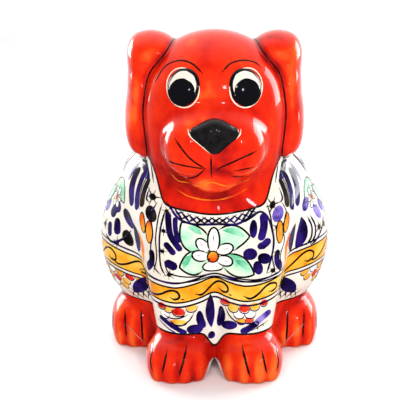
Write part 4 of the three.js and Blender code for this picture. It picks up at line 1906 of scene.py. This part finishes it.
@dataclass
class Forelegs:
    """Scales, cobalt bands and the cobalt sprig between the forelegs, below the belt."""

    painter: Painter

    def paint(self) -> None:
        """Paints both legs and the sprig between them."""
        p, front = self.painter, Chart.FRONT
        left = (
            (Enamel.RED, (-33.5, 46), (5, 4)), (Enamel.YELLOW, (-29.3, 45), (5, 4.6)),
            (Enamel.RED, (-22.8, 43.6), (8, 5)), (Enamel.YELLOW, (-14.5, 46), (7, 4.4)),
            (Enamel.WHITE, (-31.5, 40.5), (5, 4)), (Enamel.YELLOW, (-22.6, 37), (11, 3)),
        )
        right = (
            (Enamel.RED, (6.6, 48.6), (5.6, 4)), (Enamel.YELLOW, (12, 46.4), (6.4, 6)),
            (Enamel.RED, (19, 46), (6.4, 5.6)), (Enamel.YELLOW, (25.5, 47), (6, 5)),
            (Enamel.RED, (31.5, 48.4), (4.6, 4)), (Enamel.WHITE, (15.5, 42), (6.4, 4.6)),
            (Enamel.WHITE, (22.6, 42.2), (6.4, 4.6)), (Enamel.YELLOW, (17, 38), (5.4, 3.8)),
            (Enamel.RED, (22, 38.4), (5, 3.8)),
        )
        for colour, at, size in (*left, *right):
            p.oval(colour, front, at, size)
            x, z = at
            w, h = size[0] / 2 + 0.5, size[1] / 2 + 0.6
            arc = [
                (x - w, z + 0.8), (x - 0.7 * w, z - 0.7 * h), (x, z - h), (x + 0.7 * w, z - 0.7 * h),
                (x + w, z + 0.8),
            ]
            p.liner(Enamel.COBALT, front, arc, 0.8)
        for line in (
            [(-33, 41), (-28.5, 39), (-22.5, 39.4), (-16.5, 42)],
            [(-29.5, 38), (-23, 34.4), (-16.5, 37.6), (-12.8, 43)],
            [(7, 45), (10, 40), (15.5, 36.6), (23, 36.6)],
        ):
            p.liner(Enamel.COBALT, front, line, 0.9)
        p.stroke(Enamel.COBALT, front, [(-35, 38.5), (-27, 34), (-17.5, 30)], 3)
        p.liner(Enamel.VIOLET, front, [(-36, 36), (-29, 31.6), (-23, 29.6)], 0.9)
        p.stroke(Enamel.VIOLET, front, [(36, 41.5), (30, 38.5), (26, 35.5)], 4.2)
        p.stroke(Enamel.COBALT, front, [(28, 36.5), (22, 33), (16.5, 30.6)], 4.2)
        p.liner(Enamel.BLACK, front, [(34, 35.4), (29, 33.6), (24, 31.4)], 0.8)
        p.bead(Enamel.BLACK, front, [(31, 33.4), (27.5, 32), (-31.5, 33), (-34, 34.6)], 1)
        self._sprig()

    def _sprig(self) -> None:
        """Paints the cobalt sprig that fills the fold between the forelegs."""
        p, front = self.painter, Chart.FRONT
        p.stroke(Enamel.COBALT, front, [(-2.6, 52), (-2.8, 42), (-2, 31)], 6, Tip.LEAF)
        p.stroke(Enamel.COBALT, front, [(-9.8, 43.5), (-9, 37), (-6, 32.2)], 5, Tip.OVAL)
        p.stroke(Enamel.COBALT, front, [(4.2, 45), (4.6, 39), (2.4, 32)], 4.8, Tip.OVAL)
        p.oval(Enamel.COBALT, front, (-12.5, 32.2), (10.5, 6.2), -4)
        p.oval(Enamel.COBALT, front, (9.4, 34.4), (10.5, 5.6), 12)
        p.stroke(Enamel.COBALT, front, [(-2, 28.6), (-1.8, 24)], 5)


@dataclass
class Flank:
    """The haunch and shoulder on one side of the hound."""

    painter: Painter
    side: int

    def _at(self, *places: Place) -> list[tuple[float, float]]:
        """Returns places moved to this side of the hound."""
        return [(self.side * u, z) for u, z in places]

    def _stroke(self, enamel: Enamel, places: Places, *how: float | Tip) -> None:
        """Paints a fat stroke on this side: its width, tip and outline follow the places."""
        self.painter.stroke(enamel, Chart.AROUND, self._at(*places), *how)

    def _liner(self, enamel: Enamel, places: Places, width: float) -> None:
        """Draws a thin line on this side."""
        self.painter.liner(enamel, Chart.AROUND, self._at(*places), width)

    def paint(self) -> None:
        """Paints shoulder, haunch, and the fields below the belt."""
        self._shoulder()
        self._haunch()
        self._upper()
        self._foot()

    def _shoulder(self) -> None:
        """Paints the dark oval, the orange petals, and the cobalt boot in front of the haunch."""
        shade = Enamel.BLACK if self.side > 0 else Enamel.VIOLET
        self._stroke(shade, ((-57, 108), (-47, 101)), 8.6, Tip.OVAL)
        self._stroke(Enamel.ORANGE, ((-61, 104), (-58.5, 91)), 5.4, Tip.OVAL, 1.0)
        self._stroke(Enamel.ORANGE, ((-52.6, 100), (-53.4, 85)), 6.6, Tip.OVAL, 1.0)
        self._stroke(Enamel.ORANGE, ((-66, 90), (-63, 80), (-66, 68)), 4, Tip.LEAF)
        self._stroke(Enamel.COBALT, ((-51.5, 81), (-51, 73), (-58, 67)), 6)
        self._liner(Enamel.BLACK, ((-44, 112), (-45.5, 100), (-47, 88), (-46, 76), (-49, 66)), 1.0)

    def _haunch(self) -> None:
        """Paints the petals, arcs and stars on the haunch, in another way on each side."""
        p, around = self.painter, Chart.AROUND
        if self.side > 0:
            self._stroke(Enamel.COBALT, ((-103, 91), (-100, 97.5), (-92.5, 100.5)), 7.5)
            self._stroke(Enamel.COBALT, ((-95.5, 92), (-93.5, 81)), 6.6)
            self._stroke(Enamel.COBALT, ((-103, 87.5), (-100.5, 78)), 4.6)
            p.oval(Enamel.COBALT, around, self._at((-81, 95))[0], (17, 9.5), -30)
            self._liner(Enamel.COBALT, ((-106, 78), (-98, 75), (-88, 79.5), (-80, 87)), 1.8)
            self._stroke(Enamel.BLACK, ((-88, 85), (-79.5, 77)), 9.5, Tip.OVAL)
            p.star(around, self._at((-93, 75.5))[0], 9, 30)
        else:
            p.oval(Enamel.VIOLET, around, self._at((-89, 103))[0], (11, 9), 20)
            self._stroke(Enamel.VIOLET, ((-101, 100), (-107.5, 89)), 7.5, Tip.OVAL)
            self._stroke(Enamel.COBALT, ((-82, 96), (-84.5, 85), (-80, 74)), 12, Tip.LEAF)
            for shift in (0, 3.5):
                arc = ((-91 - shift, 94), (-94.5 - shift, 87), (-93 - shift, 80), (-88 - shift, 75))
                self._liner(Enamel.COBALT, arc, 1.7)
            self._liner(Enamel.COBALT, ((-112, 90), (-107, 84), (-98, 77), (-92, 74.5)), 1.5)
            p.star(around, self._at((-102, 84))[0], 10, 30)
        self._stroke(Enamel.COBALT, ((-73, 94), (-70.5, 84), (-74, 73.5)), 9, Tip.LEAF)
        p.star(around, self._at((-109, 84))[0], 9, 10)
        p.oval(Enamel.VIOLET, around, self._at((-113, 96))[0], (10, 7), 60 * self.side)
        p.oval(Enamel.COBALT, around, self._at((-121, 88))[0], (11, 6), 80 * self.side)
        self._stroke(Enamel.COBALT, ((-130, 98), (-128, 88), (-121, 78)), 6.5, Tip.LEAF)
        self._liner(Enamel.COBALT, ((-138, 96), (-136, 84), (-128, 75.5)), 1.3)

    def _upper(self) -> None:
        """Paints the leaf, the small white flower and the long strokes on the shoulder."""
        p, around = self.painter, Chart.AROUND
        self._stroke(Enamel.MINT, ((-88, 104), (-97, 112), (-110, 113)), 12, Tip.LEAF, 1.0)
        self._stroke(Enamel.MINT, ((-108, 110), (-116, 104), (-119, 95)), 9, Tip.LEAF, 1.0)
        self._stroke(Enamel.GREEN, ((-94, 110), (-102, 113)), 3, Tip.ROUND)
        for turn in range(0, 360, 60):
            a = math.radians(turn)
            tip = (-101 + 7.5 * math.cos(a), 105 + 7.5 * math.sin(a))
            self._stroke(Enamel.WHITE, ((-101, 105), tip), 5, Tip.OVAL, 0.8)
        p.oval(Enamel.ORANGE, around, self._at((-101, 105))[0], (4.4, 4.4))
        self._stroke(Enamel.COBALT, ((-84, 128), (-81, 116), (-75, 105)), 6.6)
        self._stroke(Enamel.COBALT, ((-74.5, 127), (-72, 115), (-67.5, 104)), 5)
        self._stroke(Enamel.BLACK, ((-66, 124), (-65, 115), (-62, 107)), 5)
        self._liner(Enamel.BLACK, ((-70, 128), (-69, 116), (-65, 105)), 1)
        self._liner(Enamel.COBALT, ((-61, 119), (-60, 113), (-56, 111)), 1.4)
        p.star(around, self._at((-76, 132))[0], 11, 40)
        p.stroke(Enamel.COBALT, Chart.FRONT, [(-self.side * 45, 134), (-self.side * 42.5, 123)], 4)
        p.liner(Enamel.BLACK, Chart.FRONT, [(-self.side * 40.5, 134), (-self.side * 38.5, 122)], 1.1)

    def _foot(self) -> None:
        """Paints the cobalt band and the net above the hind paw."""
        self._stroke(Enamel.COBALT, ((-70, 56), (-80, 49), (-93, 40)), 7.5, Tip.LEAF)
        for i in range(5):
            u = -72 - 5 * i
            self._liner(Enamel.BLACK, ((u, 48 - 1.7 * i), (u - 6, 38 - 0.6 * i)), 0.9)
            self._liner(Enamel.BLACK, ((u - 6, 48 - 1.7 * i), (u, 38 - 0.6 * i)), 0.9)


@dataclass
class BackPanel:
    """The painted back: a flower on leaves below the coin slot, with petals and stars up to the neck."""

    painter: Painter
    slot_height: float

    def paint(self) -> None:
        """Paints the slot's frame, the flower, and the neck."""
        p, back = self.painter, Chart.BACK
        z = self.slot_height
        frame = [
            (-26, z), (-24, z + 7), (0, z + 9), (24, z + 7), (26, z), (24, z - 7), (0, z - 9), (-24, z - 7)
        ]
        p.liner(Enamel.COBALT, back, frame, 1.6, closed=True)
        for x, turn in ((-32, 150), (32, 30), (-37, 200), (37, -20)):
            p.oval(Enamel.COBALT, back, (x, z + (5 if abs(x) < 35 else -7)), (11, 6), turn)
        for spine in (
            ((-5, 82), (-18, 87), (-31, 84)),
            ((5, 82), (18, 87), (31, 84)),
            ((-4, 78), (-14, 75), (-26, 73.5)),
            ((4, 78), (14, 75), (26, 73.5)),
        ):
            p.stroke(Enamel.MINT, back, spine, 8, Tip.LEAF, 1.0)
            p.stroke(Enamel.GREEN, back, spine[1:], 2.4, Tip.DROP)
        for turn in range(0, 360, 60):
            a = math.radians(turn + 30)
            tip = (9.5 * math.cos(a), 80.5 + 8.5 * math.sin(a))
            p.stroke(Enamel.WHITE, back, [(0, 80.5), tip], 6, Tip.OVAL, 0.9)
        p.oval(Enamel.ORANGE, back, (0, 80.5), (5.5, 5.5))
        self._neck()
        self._tail_side()

    def _neck(self) -> None:
        """Paints petals, stars and beads between the slot and the collar."""
        p, back = self.painter, Chart.BACK
        for row, (height, reach) in enumerate(((118, 38), (130, 30), (141, 24))):
            for x in np.arange(-reach + 6 * (row % 2), reach + 1, 15.2):
                if row % 2:
                    p.star(back, (x, height), 9, 7 * x)
                else:
                    p.oval(Enamel.COBALT, back, (x, height + 2), (10, 5), 90 + x)
                    p.oval(Enamel.COBALT, back, (x + 4.5, height - 3), (7, 4), 30)
                    p.bead(Enamel.ORANGE, back, [(x - 4.5, height - 4)], 2.4)

    def _tail_side(self) -> None:
        """Paints cobalt petals on both sides of the tail."""
        p, back = self.painter, Chart.BACK
        for side in (1, -1):
            for x, z, turn in ((18, 24, 60), (24, 15, 20), (30, 27, 110)):
                p.oval(Enamel.COBALT, back, (side * x, z), (11, 5.6), side * turn)
            p.star(back, (side * 38, 17), 9, 12)


@dataclass
class SideNeck:
    """Long petals and stars on each side of the neck, under the ears."""

    painter: Painter

    def paint(self) -> None:
        """Paints both sides."""
        p, around = self.painter, Chart.AROUND
        for side in (1, -1):
            for i, u in enumerate((88, 104, 120, 136, 152)):
                foot = 118 + 3 * (i % 2)
                p.stroke(Enamel.COBALT, around, [(side * u, foot + 13), (side * (u + 2), foot)], 5, Tip.OVAL)
                p.star(around, (side * (u + 8), foot + 5), 8, 9 * i)
            for u in (140, 156):
                p.oval(Enamel.COBALT, around, (side * u, 104), (10, 6), side * 60)
                p.bead(Enamel.ORANGE, around, [(side * (u + 8), 97)], 2.6)


@dataclass
class FaceLines:
    """Thin black lines of brows, whiskers and mouth, cream rings around the eyes, and painted highlights on
    the creases.
    """

    painter: Painter
    line: float = 1.1
    eye_x: float = 19.3
    eye_z: float = 186.6
    eye_ring: Place = (10.0, 11.2)

    def paint(self) -> None:
        """Draws all the lines of the face."""
        p, front = self.painter, Chart.FRONT
        lines = (
            [(-37, 187), (-30.5, 197), (-21.5, 201.5), (-13.5, 200.5), (-7, 195.5)],
            [(4.5, 196.5), (10, 201), (18, 202), (25, 200), (29, 196.5)],
            [(-2.2, 150), (-1.8, 135)],
            [(-5.5, 141), (-15, 148.5), (-24, 159)],
            [(-5.5, 141), (-18, 143), (-30.5, 144)],
            [(-5.5, 141), (-12, 134.5), (-23, 130)],
            [(1.5, 139), (4, 142), (15.5, 148), (25.5, 151.5)],
            [(12, 139.5), (18.5, 140.5), (24, 141)],
            [(10, 135), (20, 134)],
        )
        for line in lines:
            p.liner(Enamel.BLACK, front, line, self.line)
        turns = np.radians(np.arange(0, 360, 30))
        for x in (-self.eye_x, self.eye_x):
            ring = np.column_stack(
                [x + self.eye_ring[0] * np.cos(turns), self.eye_z + self.eye_ring[1] * np.sin(turns)]
            )
            p.liner(Enamel.CREAM, front, ring, 0.9, True)
        nose = [(-15.8, 165), (-15, 162), (-8, 156.4), (-0.8, 151.6), (6.6, 156.6), (15, 162), (15.8, 165)]
        p.liner(Enamel.CREAM, front, nose, 1.1)
        # Pale orange lines along the jowl and chin creases: a painted highlight where the glaze catches the
        # light there.
        for crease_highlight in (
            [(-28, 132), (-21.5, 126.5), (-9, 128.5), (-1.5, 132), (7, 129), (19, 127), (24.5, 133)],
            [(-24.5, 121.5), (-15.5, 117.5), (-1.5, 116), (11, 118), (20.5, 122)],
        ):
            p.liner(Enamel.ORANGE, front, crease_highlight, 0.9)


@dataclass
class ToeLines:
    """Black lines between the toes."""

    painter: Painter

    def paint(self) -> None:
        """Draws three lines on each front paw and on each hind paw."""
        p = self.painter
        front = (((39, 22), (40.5, 14), (39, 8)), ((30, 22), (33, 8)), ((17.5, 24), (22.5, 6.5)))
        for side in (1, -1):
            for line in front:
                p.liner(Enamel.BLACK, Chart.FRONT, [(side * x, z) for x, z in line], 1.4)
            for line in (
                ((49, 27), (48.5, 17), (48, 6)), ((60, 26), (59.5, 17), (59, 8)), ((68.5, 22), (69, 9))
            ):
                p.liner(Enamel.BLACK, Chart.FRONT, [(side * x, z) for x, z in line], 1.3)


def joint_lines(painter: Painter, parting: Parting, width: float = 1.2) -> None:
    """Draws a black line along each joint between a red piece and its neighbour.

    Args:
        painter: who draws them.
        parting: which piece each face belongs to.
        width: the line's width.
    """
    skin = parting.skin
    edges = np.stack([skin.faces, np.roll(skin.faces, -1, axis=1)], axis=2).reshape(-1, 2)
    owner = np.repeat(parting.owner, 4)
    low, high = edges.min(1), edges.max(1)
    order = np.lexsort((high, low))
    low, high, owner = low[order], high[order], owner[order]
    pair = (low[1:] == low[:-1]) & (high[1:] == high[:-1]) & (owner[1:] != owner[:-1])
    solid = (owner[1:] != "open") & (owner[:-1] != "open")
    joints = np.column_stack([low[1:], high[1:]])[pair & solid]
    for run, closed in chained(joints):
        line = skin.points[run]
        if length_of(line) < 12:
            continue
        line = evened_line(line, closed)
        share = np.linspace(0, 1, int(length_of(line) / 1.2), endpoint=not closed)
        painter.liner_on_skin(Enamel.BLACK, spread_along(line, share), width, closed)


def chained(edges: np.ndarray) -> list[tuple[list[int], bool]]:
    """Joins edges end to end.

    Args:
        edges: pairs of point numbers.

    Returns:
        Runs of point numbers, and whether each comes back to its start.
    """
    neighbours: dict[int, list[int]] = {}
    for a, b in edges.tolist():
        neighbours.setdefault(a, []).append(b)
        neighbours.setdefault(b, []).append(a)
    unused = {tuple(sorted(edge)) for edge in edges.tolist()}
    starts = [point for point, near in neighbours.items() if len(near) != 2] + list(neighbours)
    runs = []
    for start in starts:
        for step in neighbours[start]:
            run, here = [start], step
            while tuple(sorted((run[-1], here))) in unused:
                unused.remove(tuple(sorted((run[-1], here))))
                run.append(here)
                if len(neighbours[here]) != 2 or here == start:
                    break
                here = next(p for p in neighbours[here] if p != run[-2])
            if len(run) > 1:
                runs.append((run[:-1], True) if run[-1] == start else (run, False))
    return runs


def evened_line(line: Points, closed: bool, rounds: int = 6) -> Points:
    """Returns a line with its small steps smoothed away.

    Args:
        line: the line's points.
        closed: whether it comes back to its start.
        rounds: how often it is smoothed.
    """
    for _ in range(rounds):
        if closed:
            line = (np.roll(line, 1, axis=0) + 2 * line + np.roll(line, -1, axis=0)) / 4
        else:
            line = np.concatenate([line[:1], (line[:-2] + 2 * line[1:-1] + line[2:]) / 4, line[-1:]])
    return np.concatenate([line, line[:1]]) if closed else line


# ---- The studio ----


@dataclass
class Studio:
    """A pale floor, large soft lights and the camera."""

    elevation: float = math.radians(17)
    distance: float = 0.9
    lens: float = 123.7
    shift_x: float = -0.03625
    shift_y: float = -0.02075
    aim: Place = (0, -0.006, 0.108)
    floor_size: float = 6
    sky_low: float = 0.06
    sky_lean: Place = (0, 0.65, 0.35)
    sky_strength: float = 1.1

    def build(self) -> None:
        """Makes floor, lights and camera."""
        self._floor()
        self._light("side_left", (-0.7, 0.6, 0.3), 0.45, 7)
        self._light("side_right", (0.8, 0.45, 0.35), 0.55, 9)
        self._light("spark_high", (0.3, -1.0, 0.75), 0.10, 1.2)
        self._light("spark_left", (-0.45, -0.9, 0.55), 0.06, 0.5)
        self._light("spark_right", (0.55, -0.75, 0.5), 0.07, 0.7)
        self._light("spark_low", (0.1, -1.1, 0.25), 0.05, 0.3)
        self._light("top", (0, 0.35, 0.95), 0.6, 5).visible_glossy = False
        self._light("fill", (0, -1.2, 0.9), 0.9, 17).visible_glossy = False
        backdrop = self._light("backdrop", (0, 2, 1.6), 1.2, 26, (0, 2.4, 0))
        backdrop.visible_glossy = False
        backdrop.data.spread = math.radians(80)
        self._sky()
        bpy.context.scene.view_settings.view_transform = "Standard"
        self._camera()

    def _sky(self) -> None:
        """Surrounds the hound with white cloth behind it, that darkens overhead and towards the front."""
        world = bpy.data.worlds.new("studio")
        world.use_nodes = True
        tree = world.node_tree
        place = tree.nodes.new("ShaderNodeTexCoord")
        ramp = tree.nodes.new("ShaderNodeValToRGB")
        low, high = ramp.color_ramp.elements
        low.position, low.color = 0.1, (*([self.sky_low] * 3), 1)
        high.position, high.color = 0.55, (1, 1, 1, 1)
        lean = tree.nodes.new("ShaderNodeVectorMath")
        lean.operation = "DOT_PRODUCT"
        lean.inputs[1].default_value = self.sky_lean
        tree.links.new(place.outputs["Generated"], lean.inputs[0])
        tree.links.new(lean.outputs["Value"], ramp.inputs["Fac"])
        tree.links.new(ramp.outputs["Color"], tree.nodes["Background"].inputs["Color"])
        tree.nodes["Background"].inputs["Strength"].default_value = self.sky_strength
        bpy.context.scene.world = world

    def _floor(self) -> None:
        """Makes the floor, with a faint sheen on it."""
        half = self.floor_size / 2
        corners = [(-half, -half, 0), (half, -half, 0), (half, half, 0), (-half, half, 0)]
        mesh = bpy.data.meshes.new("floor")
        mesh.from_pydata(corners, [], [(0, 1, 2, 3)])
        floor = show("floor", mesh)
        s = Shades("floor_paper")
        s.link(s.ramp(s.noise(300, 2), (0.3, (0.86,) * 3), (0.7, (0.90,) * 3)), s.shader.inputs["Base Color"])
        s.set(Roughness=0.6)
        mesh.materials.append(s.material)
        floor.visible_glossy = False

    def _light(
        self, name: str, place: Place, size: float, power: float, aim: Place | None = None
    ) -> bpy.types.Object:
        """Returns a new soft square light that shines at the hound, or where it is told to."""
        data = bpy.data.lights.new(name, "AREA")
        data.size = size
        data.energy = power
        light = bpy.data.objects.new(name, data)
        light.location = place
        light.rotation_euler = (Vector(aim or self.aim) - Vector(place)).to_track_quat("-Z", "Y").to_euler()
        bpy.context.scene.collection.objects.link(light)
        return light

    def _camera(self) -> None:
        """Sets up the camera, a little above the hound and in front of it."""
        data = bpy.data.cameras.new("camera")
        data.lens = self.lens
        data.shift_x = self.shift_x
        data.shift_y = self.shift_y
        camera = bpy.data.objects.new("camera", data)
        back = Vector((0, -math.cos(self.elevation), math.sin(self.elevation)))
        camera.location = Vector(self.aim) + self.distance * back
        camera.rotation_euler = (-back).to_track_quat("-Z", "Y").to_euler()
        bpy.context.scene.collection.objects.link(camera)
        bpy.context.scene.camera = camera


def main() -> None:
    """Builds the studio and every piece of the hound bank in order."""
    logging.basicConfig(level=logging.INFO, format="%(message)s")
    Studio().build()
    low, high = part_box("rubber_stopper")
    size = Proportions(body_middle_y=(low.y + high.y) / 2 / MM - STOPPER_BACK * Proportions.body[1])
    forms = HoundForms(size)
    skin = SkinCaster(forms.figure, (-82, -80, -4), (82, 80, 222), 1.2).cast()
    parting = ClayPieces(forms, skin).build()
    Eyes(forms).build()
    Nose(forms).build()
    FootSlab(forms).build()
    Stopper(size).build()
    painter = Painter(forms, parting.skin)
    for drawing in (ChestPanel, Collar, Belt, Forelegs, SideNeck, FaceLines, ToeLines):
        drawing(painter).paint()
    for side in (-1, 1):
        Flank(painter, -side).paint()
    BackPanel(painter, size.body[2] - size.slot_below_nape).paint()
    joint_lines(painter, parting)
    painter.finish()


if __name__ == "__main__":
    main()
